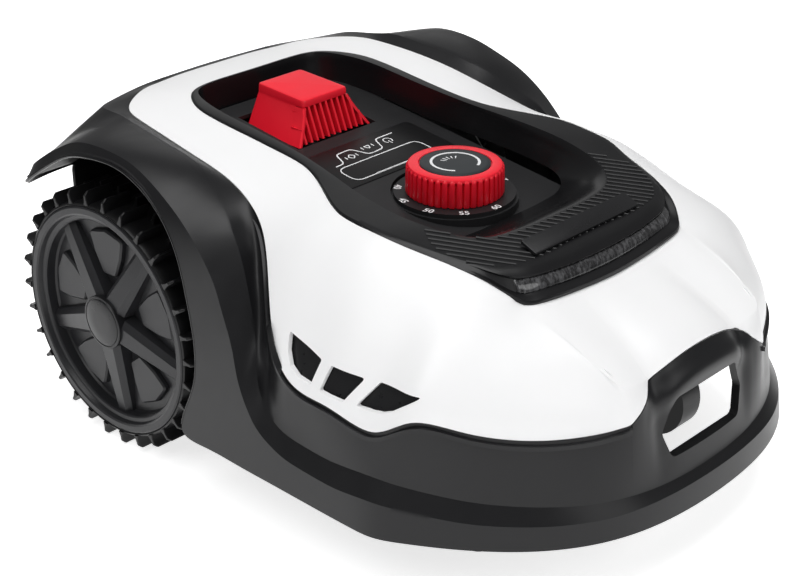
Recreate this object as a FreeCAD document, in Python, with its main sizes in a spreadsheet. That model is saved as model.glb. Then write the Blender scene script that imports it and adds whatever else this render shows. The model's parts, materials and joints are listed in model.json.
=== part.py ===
import FreeCAD, Part
import math
import os

import Sketcher

# Robotic lawn mower, millimetres. +X is the mower's front, +Y its left, +Z up.
# The origin is on the ground under the middle of the whole machine.

doc = FreeCAD.newDocument("RoboticMower")
sheet = doc.addObject("Spreadsheet::Sheet", "Sizes")
SIZES = [
    # whole machine
    ("overall_length", 512), ("overall_width", 404), ("tail_behind_axle", 105),
    ("cover_height", 236), ("shell_wall", 3), ("part_gap", 0.4),
    # drive wheels
    ("wheel_radius", 100), ("wheel_inset", 8.8), ("tyre_width", 50),
    ("carcass_radius", "=wheel_radius - 8.5"), ("rim_radius", "=wheel_radius - 13"), 
    ("hub_cap_radius", 17), ("hub_cap_depth", 4), ("hub_rise", 4),
    ("wheel_shaft_radius", 6), ("cleat_count", 30), ("cleat_thickness", 4.5),
    # casters
    ("caster_x", 300), ("caster_y", 105), ("caster_radius", 30), ("caster_width", 22), ("caster_trail", 16),
    ("caster_stem_radius", 7), ("caster_pin_radius", 3), ("fork_wall", 3),
    # chassis
    ("tub_top", 135), ("tub_floor_rear", 55), ("tub_floor_front", 80), ("tub_rear_x", -92),
    ("tub_step_x", 48), ("tub_front_x", 345), ("tub_half_rear", 130), ("tub_half_front", 158),
    ("tub_wall", 3), ("lid_thickness", 3), ("seal_thickness", 1.5), ("tower_half_width", 70),
    ("door_x", -62.5), ("door_length", 46), ("door_width", 130),
    # cutting deck
    ("deck_x", 167.8), ("blade_height", 20), ("disc_radius", 76), ("disc_thickness", 4),
    ("pivot_inset", 10), ("blade_length", 40), ("blade_width", 18), ("blade_thickness", 0.8),
    ("blade_count", 3), ("guard_radius", 113), ("carriage_radius", 45), ("motor_radius", 33),
    ("motor_height", 24), ("motor_shaft_radius", 4), ("skid_radius", 52), ("skid_thickness", 3),
    # height dial
    ("dial_radius", 35.7), ("dial_height", 21.4), ("dial_top", 215.2),
    ("dial_cap_radius", "=dial_radius - 10.7"), ("spindle_radius", 6),
    ("scale_outer_radius", "=dial_radius + 8.3"), ("scale_height", 3.2),
    # control well
    ("tray_thickness", 3), ("tray_half_width", 76), ("tray_rear_x", -36), ("tray_front_x", 236),
    ("tray_rear_z", 214.5), ("tray_front_z", 181), 
    # stop button
    ("stop_base_half", 37.9), ("stop_top_half", 23.4), ("stop_rear_x", -15), ("stop_front_x", 46),
    ("stop_top_front_x", 35), ("stop_base_z", 206), ("stop_top_z", 237), ("stop_travel", 5),
    ("stop_stem_radius", 6),
    # fits
    ("running_fit", 0.05), ("face_gap", 0.3), ("screw_radius", 2),
]
for row, (alias, value) in enumerate(SIZES, start=1):
    sheet.set("A%d" % row, alias)
    sheet.set("B%d" % row, str(value))
    sheet.setAlias("B%d" % row, alias)
doc.recompute()


def size(alias):
    return float(sheet.get(alias))


# Distances along the machine are measured from the drive axle; this moves them to the origin.
AXLE = "(Sizes.tail_behind_axle - Sizes.overall_length / 2)"
AXLE_X = size("tail_behind_axle") - size("overall_length") / 2
HALF = size("overall_width") / 2
WALL = size("shell_wall")
GAP = size("part_gap")
finished = []


def bind(item, **expressions):
    for prop, text in expressions.items():
        item.setExpression(prop.replace("__", "."), text)
    return item


def put(item, x, y, z, turn=None):
    """Ties an object's place to the sheet; x is measured from the drive axle."""
    if turn:
        rotation = FreeCAD.Rotation(FreeCAD.Vector(*turn[0]), turn[1])
        item.Placement = FreeCAD.Placement(FreeCAD.Vector(), rotation)
    item.setExpression("Placement.Base.x", "%s + %s" % (AXLE, x))
    item.setExpression("Placement.Base.y", y)
    item.setExpression("Placement.Base.z", z)
    return item


TURNS = {"Z": None, "Y": ((1, 0, 0), -90), "X": ((0, 1, 0), 90)}


def cylinder(name, radius, height, x, y, z, along="Z"):
    item = doc.addObject("Part::Cylinder", name)
    bind(item, Radius=radius, Height=height)
    return put(item, x, y, z, TURNS[along])


def cone(name, radius_low, radius_high, height, x, y, z, along="Z"):
    item = doc.addObject("Part::Cone", name)
    bind(item, Radius1=radius_low, Radius2=radius_high, Height=height)
    return put(item, x, y, z, TURNS[along])


def box(name, length, width, height, x, y, z):
    """A block centred on x and y, standing on z."""
    item = doc.addObject("Part::Box", name)
    bind(item, Length=length, Width=width, Height=height)
    return put(item, "(%s) - (%s) / 2" % (x, length), "(%s) - (%s) / 2" % (y, width), z)


def fuse(name, *items):
    item = doc.addObject("Part::MultiFuse", name)
    item.Shapes = list(items)
    return item


def cut(name, base, *tools):
    item = doc.addObject("Part::Cut", name)
    item.Base = base
    item.Tool = tools[0] if len(tools) == 1 else fuse(name + "_tools", *tools)
    return item


def group(name, items):
    item = doc.addObject("Part::Compound", name)
    item.Links = list(items)
    return item


def keep(name, item):
    """Marks an object as a finished sub-part and names its file."""
    item.Label = name
    finished.append((name, item))
    return item


def shaped(name, shape):
    """A sub-part whose shape is worked out below from values in the sheet."""
    item = doc.addObject("Part::Feature", name + "_shape")
    item.Shape = shape
    item.Placement = FreeCAD.Placement(FreeCAD.Vector(AXLE_X, 0, 0), FreeCAD.Rotation())
    return keep(name, item)


def vec(x, y, z):
    return FreeCAD.Vector(x, y, z)


def closed_wire(points):
    return Part.makePolygon(list(points) + [points[0]])


def slab(points, direction):
    return Part.Face(closed_wire(points)).extrude(direction)


def both_sides(points):
    """Points of a half outline at y >= 0, joined to their mirror images."""
    mirrored = [(x, -y) for x, y in reversed(points) if y > 0]
    return list(points) + mirrored


def plan_prism(half_outline, low, high):
    return slab([vec(x, y, low) for x, y in both_sides(half_outline)], vec(0, 0, high - low))


def side_prism(outline, low_y, high_y):
    return slab([vec(x, low_y, z) for x, z in outline], vec(0, high_y - low_y, 0))


# ---------------------------------------------------------------- outer form
# The shell, its openings and the control ring are drawn at these overall sizes, and stretched to the sheet's.
DRAWN_LENGTH, DRAWN_WIDTH, DRAWN_HEIGHT = 512, 404, 236
STRETCH_X = size("overall_length") / DRAWN_LENGTH
STRETCH_Y = size("overall_width") / DRAWN_WIDTH
STRETCH_Z = size("cover_height") / DRAWN_HEIGHT
DRAWN_HEM, DRAWN_NOSE = 47, 407
HEM = DRAWN_HEM * STRETCH_Z


def drawn_plan(half_outline, low, high):
    """A prism over a plan outline given in drawn sizes."""
    points = [(x * STRETCH_X, y * STRETCH_Y) for x, y in half_outline]
    return plan_prism(points, low * STRETCH_Z, high * STRETCH_Z)


def drawn_side(outline, low_y, high_y):
    """A prism over a side outline given in drawn sizes."""
    points = [(x * STRETCH_X, z * STRETCH_Z) for x, z in outline]
    return side_prism(points, low_y * STRETCH_Y, high_y * STRETCH_Y)


# Each station is x, then eight (y, z) corners of the half section from the crown down to the hem.
STATIONS = [
    (-105, [(0, 206), (50, 205), (70, 204), (85, 202),
           (105, 198), (178, 180), (183, 150), (183, 105)]),
    (-85, [(0, 230), (50, 229.5), (68, 229), (85, 228),
           (112, 226), (182, 200), (186, 150), (186, 100)]),
    (-50, [(0, 235), (60, 234), (90, 233.5), (118, 232.3),
           (133, 233), (183, 221), (187, 160), (189, 60)]),
    (0, [(0, 236), (87, 232), (110, 230.8), (130, 229),
           (142, 233.7), (183.5, 234), (192, 150), (202, 47)]),
    (50, [(0, 232), (88, 227), (112, 224.8), (133, 222),
           (144.5, 228), (184, 226), (193, 130), (202, 47)]),
    (95, [(0, 225), (90, 222.5), (115, 219), (137, 213),
           (155, 212), (187.5, 202), (194, 120), (202, 47)]),
    (115, [(0, 222), (92, 220.5), (120, 214), (143, 204.5),
           (163, 196), (189, 184), (196, 110), (202, 47)]),
    (137, [(0, 219), (102, 217.5), (132, 208), (154, 191),
           (172, 175), (191, 150), (198, 95), (202, 47)]),
    (165, [(0, 216), (116, 214.5), (150, 197), (177, 164.5),
           (184, 145), (193, 99), (200, 72), (202, 47)]),
    (193, [(0, 214), (120, 212), (160, 188), (190.5, 128),
           (192, 107), (193, 87), (201, 70), (202, 47)]),
    (230, [(0, 210.5), (115, 206.5), (158, 180), (192, 122),
           (192.5, 105), (193, 84), (201, 70), (202, 47)]),
    (265, [(0, 202), (105, 199.5), (150, 170), (188, 117),
           (190, 102), (192, 83), (201, 69), (202, 47)]),
    (297, [(0, 188), (90, 185), (135, 165), (178, 131),
           (179, 107), (180, 81), (189, 67), (190.5, 47)]),
    (330, [(0, 168), (86, 167), (120, 155), (154, 124),
           (156, 105), (159, 78), (168, 66), (170, 47)]),
    (360, [(0, 157), (83, 155), (103, 145), (121, 119),
           (124, 102), (129, 74), (139, 65), (142, 47)]),
    (384, [(0, 153), (40, 149), (58, 140), (74.4, 121),
           (79, 101), (88, 72), (103, 64), (107, 47)]),
    (396, [(0, 140), (20, 138), (34, 133), (44, 121),
           (52, 99), (62, 71), (80, 64), (86, 47)]),
    (400, [(0, 87), (14, 86), (20, 84), (26, 80),
           (34, 75), (46, 68), (62, 63), (70, 47)]),
    (407, [(0, 62), (2, 61.6), (4, 61), (6, 60),
           (8, 59), (10, 58), (12, 55), (14, 47)]),
]


def section(x, corners):
    """A closed cross-section of the shell at x, from its half given in drawn sizes."""
    half = [(y * STRETCH_Y, z * STRETCH_Z) for y, z in corners]
    right = [vec(x * STRETCH_X, -y, z) for y, z in reversed(half) if y > 0]
    left = [vec(x * STRETCH_X, y, z) for y, z in half if y > 0]
    return closed_wire([vec(x * STRETCH_X, 0, half[0][1])] + left + right)


CURVED_NOSE, CURVED_TAIL = 292, -60  # beyond these the shell's ends face along the machine
NARROWEST = 0.3  # share of a corner's width that the inner form keeps near the nose


def outer_form():
    return Part.makeLoft([section(x, corners) for x, corners in STATIONS], True, True)


def inner_form(inset, floor):
    """The outer form moved in by one wall, and carried down below the hem so that it opens it."""
    wires = []
    for x, corners in STATIONS:
        moved = x - inset if x > CURVED_NOSE else (x + inset if x < CURVED_TAIL else x)
        inner = [(0, corners[0][1] - inset)]
        for y, z in corners[1:-1]:
            inner.append((max(y - inset, y * NARROWEST), max(z - inset, floor + 2 + (y < 20))))
        inner.append((max(corners[-1][0] - inset, corners[-1][0] * NARROWEST), floor))
        wires.append(section(moved, inner))
    return Part.makeLoft(wires, True, True)


# The edge of the white cover, from the tail's corner round the flank to the nose: (x, y, z).
COVER_EDGE_REAR = [(-88, 0), (-86, 60), (-75, 86.5), (-65, 105), (-52, 117), (-37, 124.5), (-16, 129),
                   (12, 131), (50, 133), (76, 134.5), (95, 137), (115, 143), (137, 154), (156, 170),
                   (173, 183), (186, 189), (193, 190.5)]
COVER_EDGE_FRONT = [(193, 128), (207, 123), (230, 122), (261, 115.5), (279, 119.5), (296, 131), (312, 127),
                    (340, 121), (362, 118), (384.5, 121)]
VISOR_HALF, VISOR_X = 60, 380
OUTSIDE, ABOVE = 222, 300  # clear of the whole machine at the sides and over the top


def cover_zone(grow):
    """The space that the white cover takes from the outer skin."""
    corner, front = COVER_EDGE_FRONT[0][0], DRAWN_NOSE - 10
    plan = [(x - grow, y + grow if y else 0) for x, y in COVER_EDGE_REAR]
    plan += [(corner - grow, OUTSIDE), (front, OUTSIDE), (front, VISOR_HALF - grow)]
    plan += [(VISOR_X + grow, VISOR_HALF - 4 - grow), (VISOR_X + grow, 0)]
    side = [(x, z - grow) for x, z in COVER_EDGE_FRONT]
    side = [(-OUTSIDE, 90 - grow), (corner, 90 - grow)] + side
    side += [(front, side[-1][1] + 3), (front, ABOVE), (-OUTSIDE, ABOVE)]
    return drawn_plan(plan, 0, ABOVE).common(drawn_side(side, -OUTSIDE, OUTSIDE))


ARCH = [(93, 30), (93, DRAWN_HEM), (101, 72), (106, 95), (106, 125), (98, 152), (90, 174), (78, 195),
        (60, 212),
        (35, 222), (8, 227), (-20, 222), (-49, 211), (-77, 193), (-96, 180), (-125, 158), (-125, 30)]
ARCH_INNER_Y = 137
TAIL_HEM = 100


def wheel_arches():
    left = drawn_side(ARCH, ARCH_INNER_Y, OUTSIDE)
    right = drawn_side(ARCH, -OUTSIDE, -ARCH_INNER_Y)
    tail = [(-125, 30), (105, 30), (105, 60), (60, TAIL_HEM), (-125, TAIL_HEM)]
    return left.fuse([right, drawn_side(tail, -ARCH_INNER_Y - 0.1, ARCH_INNER_Y + 0.1)])


HANDLE = [(-37, 83), (-46, 105), (-38, 127), (38, 127), (46, 105), (37, 83)]


def handle_hole():
    back = (VISOR_X - 12) * STRETCH_X
    return slab([vec(back, y * STRETCH_Y, z * STRETCH_Z) for y, z in HANDLE], vec(60 * STRETCH_X, 0, 0))


# Plan outline of the black control ring, and of the well inside it.
RING = [(-45, 0), (-44.5, 45), (-39, 66), (-24.5, 79), (-2, 87), (44, 88), (84, 88), (108, 90.5), (131, 99),
        (164, 116.5), (182, 120), (210, 120), (229, 115), (257, 107.5), (283, 98), (297, 90), (302.8, 84.8),
        (308.6, 71.5), (311, 47), (312.5, 0)]
WELL = [(-41, 0), (-40, 44), (-34, 60), (-21, 70), (0, 76), (44, 78), (84, 79), (120, 81), (160, 83),
        (200, 78), (222, 60), (232, 30), (233, 0)]
RING_LOW, RING_DEPTH = 140, 14
RING_TOP = [(-46, 236), (0, 234), (44, 229.5), (84, 225.5), (164, 216.5), (210, 211), (257, 203.5),
            (285, 199), (298, 191.5), (302, 186), (313, 178)]


def grown(outline, grow):
    """Moves a half plan outline outward by a fixed distance from its middle line."""
    middle = (outline[0][0] + outline[-1][0]) / 2
    moved = []
    for x, y in outline:
        length = math.hypot(x - middle, y) or 1
        moved.append((x + grow * (x - middle) / length, y + grow * y / length if y else 0))
    return moved


def ring_band(depth):
    """The space between the ring's sloping top and the same slope below it."""
    line = list(RING_TOP)
    return drawn_side(line + [(x, z - depth) for x, z in reversed(line)], -OUTSIDE, OUTSIDE)


outer = outer_form()
cavity = inner_form(WALL, DRAWN_HEM - 20)
arches = wheel_arches()
ring_hole = drawn_plan(grown(RING, GAP), RING_LOW, ABOVE)
skin = outer.cut(cavity).cut(arches)
skin = skin.cut(ring_hole)
VENTS = [[(187.4, 156), (219, 147.4), (215, 130), (202.6, 131.4), (195.2, 135.8), (190, 144)],
         [(228, 146.6), (253.3, 144.8), (242.8, 127.8), (223.4, 129.1)],
         [(263.7, 145.1), (292, 144.5), (278, 131.7), (271, 128.6), (252, 127.7)]]
VENT_INNER_Y = 120


def through_flanks(outline):
    """Prisms that pass through the left and the right flank."""
    return [drawn_side(outline, VENT_INNER_Y, OUTSIDE), drawn_side(outline, -OUTSIDE, -VENT_INNER_Y)]


vent_cutters = [cutter for vent in VENTS for cutter in through_flanks(vent)]
cover_skin = skin.common(cover_zone(0))
for cutter in vent_cutters:
    cover_skin = cover_skin.cut(cutter)
black_skin = skin.cut(cover_zone(GAP)).cut(handle_hole())


def largest(shape):
    """The one main solid; slivers that a cut leaves behind are dropped."""
    return max(shape.Solids, key=lambda solid: solid.Volume)


shaped("top_cover", largest(cover_skin))
shaped("body_shell", largest(black_skin))

ring = drawn_plan(RING, RING_LOW, ABOVE).common(ring_band(RING_DEPTH))
ring = ring.cut(drawn_plan(WELL, RING_LOW, ABOVE))
LENS_LOW, LENS_HIGH, LENS_FIT = 182.5, 190.6, 0.3
LENS_REAR = [(290, 0), (290, 66), (292, 83)]
LENS_FRONT = [(300.6, 83), (305, 71), (308, 45), (309.2, 0)]
pocket_rear = [(x - 2, y + LENS_FIT if y else 0) for x, y in LENS_REAR]
pocket_front = [(DRAWN_NOSE, LENS_REAR[-1][1] + LENS_FIT), (DRAWN_NOSE, 0)]
ring = ring.cut(drawn_plan(pocket_rear + pocket_front, LENS_LOW - LENS_FIT, LENS_HIGH + LENS_FIT))
shaped("control_ring", largest(ring))
shaped("light_lens", drawn_plan(LENS_REAR + LENS_FRONT, LENS_LOW, LENS_HIGH))

PLATE = [(272, 201.4), (290, 198.6), (290, 200.6), (272, 203.6)]
PLATE_HALF = 56
shaped("name_plate", drawn_side(PLATE, -PLATE_HALF, PLATE_HALF).cut(ring))

inserts = []
flank = outer.cut(inner_form(WALL + 2.5, DRAWN_HEM - 20)).cut(outer.cut(cavity))
INSERT_GROWTH = 1.2
for vent in VENTS:
    centre_x = sum(x for x, z in vent) / len(vent)
    centre_z = sum(z for x, z in vent) / len(vent)
    wide = [(centre_x + (x - centre_x) * INSERT_GROWTH, centre_z + (z - centre_z) * INSERT_GROWTH)
            for x, z in vent]
    inserts += [largest(panel.common(flank)) for panel in through_flanks(wide)]
shaped("vent_inserts", Part.makeCompound(inserts))

# Rear grip strip set into the tail of the cover.
STRIP = [(-94, 226.5), (-88, 226.5), (-88, 229), (-94, 229)]
STRIP_HALF = 62.5
shaped("rear_strip", largest(drawn_side(STRIP, -STRIP_HALF, STRIP_HALF).cut(skin)))

# Posts that carry the cover on the chassis.
POSTS = [(-45, 96), (-45, -96), (255, 120), (255, -120)]
POST_RADIUS = 8
lid_top = size("tub_top") + size("seal_thickness") + size("lid_thickness")
MOUNT_HEIGHT = 14
posts = []
for x, y in POSTS:
    low = lid_top + MOUNT_HEIGHT + size("face_gap")
    post = Part.makeCylinder(POST_RADIUS, 120, vec(x, y, low))
    posts.append(largest(post.common(cavity)))
shaped("cover_posts", Part.makeCompound(posts))

# ---------------------------------------------------------------- chassis
TUB_PLAN = [(size("tub_rear_x"), 0), (size("tub_rear_x"), size("tub_half_rear") - 12),
            (size("tub_rear_x") + 12, size("tub_half_rear")), (112, size("tub_half_rear")),
            (130, size("tub_half_front")), (272, size("tub_half_front")),
            (size("tub_front_x") - 22, 118), (size("tub_front_x"), 70), (size("tub_front_x"), 0)]


def shrunk(outline, wall):
    middle = (outline[0][0] + outline[-1][0]) / 2
    moved = []
    for x, y in outline:
        side_x = wall if x < middle else -wall
        moved.append((x + side_x * (abs(x - middle) > 100), max(y - wall, 0)))
    return moved


def tub_block(wall, low_rear, low_front, high):
    plan = shrunk(TUB_PLAN, wall) if wall else TUB_PLAN
    front = plan_prism(plan, low_front, high)
    step = size("tub_step_x") - wall
    rear = front.BoundBox
    lower = plan_prism(plan, low_rear, high)
    corner = vec(rear.XMin - 1, -HALF, low_rear)
    keep_rear = Part.makeBox(step - rear.XMin + 1, 2 * HALF, high - low_rear, corner)
    return front.fuse(lower.common(keep_rear)).removeSplitter()


deck_x = size("deck_x")
tub_floor_rear, tub_floor_front = size("tub_floor_rear"), size("tub_floor_front")
tub_wall, tub_top = size("tub_wall"), size("tub_top")
tub = tub_block(0, tub_floor_rear, tub_floor_front, tub_top)
tub = tub.cut(tub_block(tub_wall, tub_floor_rear + tub_wall, tub_floor_front + tub_wall, tub_top + 1))
guard_radius = size("guard_radius")
guard = Part.makeCylinder(guard_radius + tub_wall, tub_floor_front - HEM + 3, vec(deck_x, 0, HEM))
guard = guard.cut(Part.makeCylinder(guard_radius, tub_floor_front - HEM + 3, vec(deck_x, 0, HEM)))
tube_inner = size("carriage_radius") + size("face_gap")
guide = Part.makeCylinder(tube_inner + tub_wall, tub_top - tub_floor_front, vec(deck_x, 0, tub_floor_front))
tub = tub.fuse([guard, guide])
tub = tub.cut(Part.makeCylinder(tube_inner, tub_top, vec(deck_x, 0, tub_floor_front - 5)))
axle_z = size("wheel_radius")
hole_radius = size("wheel_shaft_radius") + 1
for s in (1, -1):
    start = vec(0, s * (size("tub_half_rear") - 8), axle_z)
    tub = tub.cut(Part.makeCylinder(hole_radius, 20, start, vec(0, s, 0)))
caster_x, caster_y = size("caster_x"), size("caster_y")
bush_outer = size("caster_stem_radius") + 3
for s in (1, -1):
    boss = Part.makeCylinder(bush_outer + 3, 30, vec(caster_x, s * caster_y, tub_floor_front))
    tub = tub.fuse(boss)
for s in (1, -1):
    tub = tub.cut(Part.makeCylinder(bush_outer, 60, vec(caster_x, s * caster_y, tub_floor_front - 5)))
door_x, door_length, door_width = size("door_x"), size("door_length"), size("door_width")
door_corner = vec(door_x - door_length / 2, -door_width / 2, tub_floor_rear - 3)
tub = tub.cut(Part.makeBox(door_length, door_width, 10, door_corner))
shaped("chassis_tub", largest(tub))

seal = plan_prism(TUB_PLAN, tub_top, tub_top + size("seal_thickness"))
seal = seal.cut(plan_prism(shrunk(TUB_PLAN, tub_wall), tub_top - 1, tub_top + 5))
shaped("lid_seal", largest(seal))

# The lid carries a tower whose sloping top holds the control tray.
tray_rear_x, tray_front_x = size("tray_rear_x"), size("tray_front_x")
tray_rear_z, tray_front_z = size("tray_rear_z"), size("tray_front_z")
tray_thickness = size("tray_thickness")
TOWER_INSET = 5


def tray_z(x):
    share = (x - tray_rear_x) / (tray_front_x - tray_rear_x)
    return tray_rear_z + share * (tray_front_z - tray_rear_z)


def tower(wall, low, top_drop):
    rear, front = tray_rear_x + TOWER_INSET + wall, tray_front_x - TOWER_INSET - wall
    outline = [(rear, low), (front, low), (front, tray_z(front) - tray_thickness - top_drop),
               (rear, tray_z(rear) - tray_thickness - top_drop)]
    half = size("tower_half_width") - wall
    return side_prism(outline, -half, half)


lid = plan_prism(TUB_PLAN, tub_top + size("seal_thickness"), lid_top).fuse(tower(0, tub_top + 2, 0))
lid = lid.cut(tower(2.5, tub_top - 1, -1))
shaped("chassis_lid", largest(lid.removeSplitter()))

# Control tray: a sloping floor with a level seat for the dial and a window for the stop button.
half_tray = size("tray_half_width")
tray = side_prism([(tray_rear_x, tray_rear_z - tray_thickness),
                   (tray_front_x, tray_front_z - tray_thickness),
                   (tray_front_x, tray_front_z), (tray_rear_x, tray_rear_z)], -half_tray, half_tray)
dial_low = size("dial_top") - size("dial_height")
scale_low = dial_low - size("face_gap") - size("scale_height")
seat = Part.makeCylinder(size("scale_outer_radius") + 2, 9, vec(deck_x, 0, scale_low - 9))
tray = tray.cut(Part.makeCylinder(size("scale_outer_radius") + 2, 40, vec(deck_x, 0, scale_low)))
tray = tray.fuse(seat)
spindle_hole = size("spindle_radius") + size("running_fit")
tray = tray.cut(Part.makeCylinder(spindle_hole, 60, vec(deck_x, 0, scale_low - 20)))
STOP_MARGIN = 3
stop_rear, stop_front, stop_half = size("stop_rear_x"), size("stop_front_x"), size("stop_base_half")
window = Part.makeBox(stop_front - stop_rear + 2 * STOP_MARGIN, 2 * (stop_half + STOP_MARGIN), 60,
                      vec(stop_rear - STOP_MARGIN, -stop_half - STOP_MARGIN, 180))
tray = tray.cut(window)
shaped("control_tray", largest(tray))

# Keypad overlay lies on the tray between the stop button and the dial.
PAD_REAR, PAD_FRONT, PAD_HALF, PAD_THICKNESS = 62, 118, 62, 0.8
pad = side_prism([(PAD_REAR, tray_z(PAD_REAR)), (PAD_FRONT, tray_z(PAD_FRONT)),
                  (PAD_FRONT, tray_z(PAD_FRONT) + PAD_THICKNESS),
                   (PAD_REAR, tray_z(PAD_REAR) + PAD_THICKNESS)],
                 -PAD_HALF, PAD_HALF)
shaped("keypad", pad)
BOARD_DROP = tray_thickness + 1.5
board = side_prism([(PAD_REAR, tray_z(PAD_REAR) - BOARD_DROP), (PAD_FRONT, tray_z(PAD_FRONT) - BOARD_DROP),
                    (PAD_FRONT, tray_z(PAD_FRONT) - BOARD_DROP + 1.5),
                    (PAD_REAR, tray_z(PAD_REAR) - BOARD_DROP + 1.5)], -PAD_HALF + 6, PAD_HALF - 6)
shaped("keypad_board", board)

# Stop switch: a housing under the window, hung from the tray by its two side walls.
switch_top = size("stop_base_z") - size("stop_travel") - 9
stop_mid = (stop_rear + stop_front) / 2
frame_low = switch_top - 12
housing = Part.makeBox(30, 2 * (stop_half + 8), 4, vec(stop_mid - 15, -stop_half - 8, frame_low))
housing = housing.fuse(Part.makeBox(24, 30, 12, vec(stop_mid - 12, -15, frame_low)))
for s in (1, -1):
    arm = Part.makeBox(30, 4, 60, vec(stop_mid - 15, s * (stop_half + 6) - 2, frame_low))
    under = tower(-40, 0, 0)
    housing = housing.fuse(arm.common(under))
stem_hole = size("stop_stem_radius") + size("running_fit")
housing = housing.cut(Part.makeCylinder(stem_hole, 40, vec(stop_mid, 0, frame_low - 1)))
shaped("stop_switch", largest(housing.removeSplitter()))

stop_top_half = size("stop_top_half")
stop_base_z, stop_top_z = size("stop_base_z"), size("stop_top_z")
top_front = size("stop_top_front_x")


def oblong(x_low, x_high, half, z):
    chamfer = 4
    return closed_wire([vec(x_low + chamfer, -half, z), vec(x_high, -half, z), vec(x_high, half, z),
                        vec(x_low + chamfer, half, z), vec(x_low, half - chamfer, z),
                        vec(x_low, -half + chamfer, z)])


button = Part.makeLoft([oblong(stop_rear, stop_front, stop_half, stop_base_z),
                        oblong(stop_rear + 1, top_front + 3, stop_top_half + 3, stop_top_z - 6),
                        oblong(stop_rear + 2, top_front, stop_top_half, stop_top_z)], True, True)
GRILLE_SLOTS, SLOT_WIDTH = 11, 2.6
pitch = 2 * (stop_half - 5) / GRILLE_SLOTS
for number in range(GRILLE_SLOTS):
    y = (number - (GRILLE_SLOTS - 1) / 2) * pitch
    slot_top = stop_top_z - 7
    reach = (stop_half - abs(y)) / (stop_half - stop_top_half)
    slot_top = min(slot_top, stop_base_z + 3 + reach * 18)
    slot = side_prism([(top_front - 1, stop_base_z - 1), (stop_front + 5, stop_base_z - 1),
                       (stop_front + 5, slot_top), (top_front - 1, slot_top)],
                      y - SLOT_WIDTH / 2, y + SLOT_WIDTH / 2)
    button = button.cut(slot)
shaped("stop_button", largest(button))
stem_foot = vec(stop_mid, 0, frame_low + 6)
stem = Part.makeCylinder(size("stop_stem_radius"), stop_base_z - (frame_low + 6), stem_foot)
shaped("stop_stem", stem)
SPRING_OUTER, SPRING_INNER = 10, 7
spring = Part.makeCylinder(SPRING_OUTER, stop_base_z - switch_top, vec(stop_mid, 0, switch_top))
spring = spring.cut(Part.makeCylinder(SPRING_INNER, 60, vec(stop_mid, 0, switch_top - 1)))
shaped("stop_spring", spring)

doc.recompute()

# Parts made from cylinders and blocks that are tied to the sheet.
MIRRORED = (("left", 1), ("right", -1))
wheel_y = "((Sizes.overall_width / 2 - Sizes.wheel_inset) - Sizes.tyre_width / 2)"

for side, s in MIRRORED:
    # gear motor lies along the axle inside the tub
    length = "66"
    start = "(Sizes.tub_half_rear - Sizes.tub_wall - 68)"
    base_y = start if s > 0 else "-%s - %s" % (start, length)
    body = cylinder(side + "_motor_can", "27", length, "0", base_y, "Sizes.wheel_radius", "Y")
    bore_y = "Sizes.tub_half_rear - 22" if s > 0 else "-Sizes.tub_half_rear + 2"
    bore = cylinder(side + "_motor_bore", "Sizes.wheel_shaft_radius + Sizes.running_fit", "20", "0", bore_y,
                    "Sizes.wheel_radius", "Y")
    keep(side + "_gear_motor", cut(side + "_motor", body, bore))

keep("battery_pack", box("battery", "50", "120", "60", "Sizes.door_x", "0",
                         "Sizes.tub_floor_rear + Sizes.tub_wall + 0.5"))
door = box("door_plate", "Sizes.door_length - 2 * Sizes.part_gap", "Sizes.door_width - 2 * Sizes.part_gap",
           "Sizes.tub_wall", "Sizes.door_x", "0", "Sizes.tub_floor_rear")
DOOR_SCREWS = [("Sizes.door_x + %s" % x, "%s(Sizes.door_width / 2 - 7)" % side)
               for x in ("17.5", "-17.5") for side in ("", "-")]
sinks, door_screws = [], []
for number, (x, y) in enumerate(DOOR_SCREWS):
    sinks.append(cylinder("door_sink_%d" % number, "3.2", "4.2", x, y, "Sizes.tub_floor_rear - 2"))
    door_screws.append(cylinder("door_screw_%d" % number, "3.2", "1.8", x, y, "Sizes.tub_floor_rear + 0.4"))
keep("battery_door", cut("door", door, *sinks))
keep("door_screws", group("door_screw_set", door_screws))
keep("main_board", box("board", "46", "80", "1.6", "0", "0", "Sizes.tub_floor_rear + Sizes.tub_wall + 5"))
keep("board_spacers", group("spacers", [
    cylinder("spacer_%d" % n, "3", "5", str(x), str(y), "Sizes.tub_floor_rear + Sizes.tub_wall")
    for n, (x, y) in enumerate([(-18, -34), (18, -34), (-18, 34), (18, 34)])]))

# Dial: knob, cap and threaded spindle turn together.
DIAL_LOW = "(Sizes.dial_top - Sizes.dial_height)"
knob = cylinder("knob_disc", "Sizes.dial_radius", "Sizes.dial_height", "Sizes.deck_x", "0", DIAL_LOW)
recess = cylinder("knob_recess", "Sizes.dial_cap_radius + Sizes.part_gap / 2", "2", "Sizes.deck_x", "0",
                  "Sizes.dial_top - 1.2")
keep("dial_knob", cut("knob", knob, recess,
                      cylinder("knob_hole", "Sizes.spindle_radius", "30", "Sizes.deck_x", "0",
                               DIAL_LOW + " - 1")))
keep("dial_cap", cylinder("cap_disc", "Sizes.dial_cap_radius", "0.8", "Sizes.deck_x", "0",
                          "Sizes.dial_top - 1.2"))
SPINDLE_LOW = "(Sizes.blade_height + 96)"
keep("dial_spindle", cylinder("spindle_rod", "Sizes.spindle_radius",
                              "Sizes.dial_top - 1.2 - %s" % SPINDLE_LOW, "Sizes.deck_x", "0", SPINDLE_LOW))
SCALE_LOW = "(Sizes.dial_top - Sizes.dial_height - Sizes.face_gap - Sizes.scale_height)"
scale = cylinder("scale_disc", "Sizes.scale_outer_radius", "Sizes.scale_height", "Sizes.deck_x", "0",
                 SCALE_LOW)
keep("dial_scale", cut("scale", scale, cylinder("scale_hole", "Sizes.spindle_radius + 2", "10",
                                                "Sizes.deck_x", "0", SCALE_LOW + " - 1")))

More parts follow.
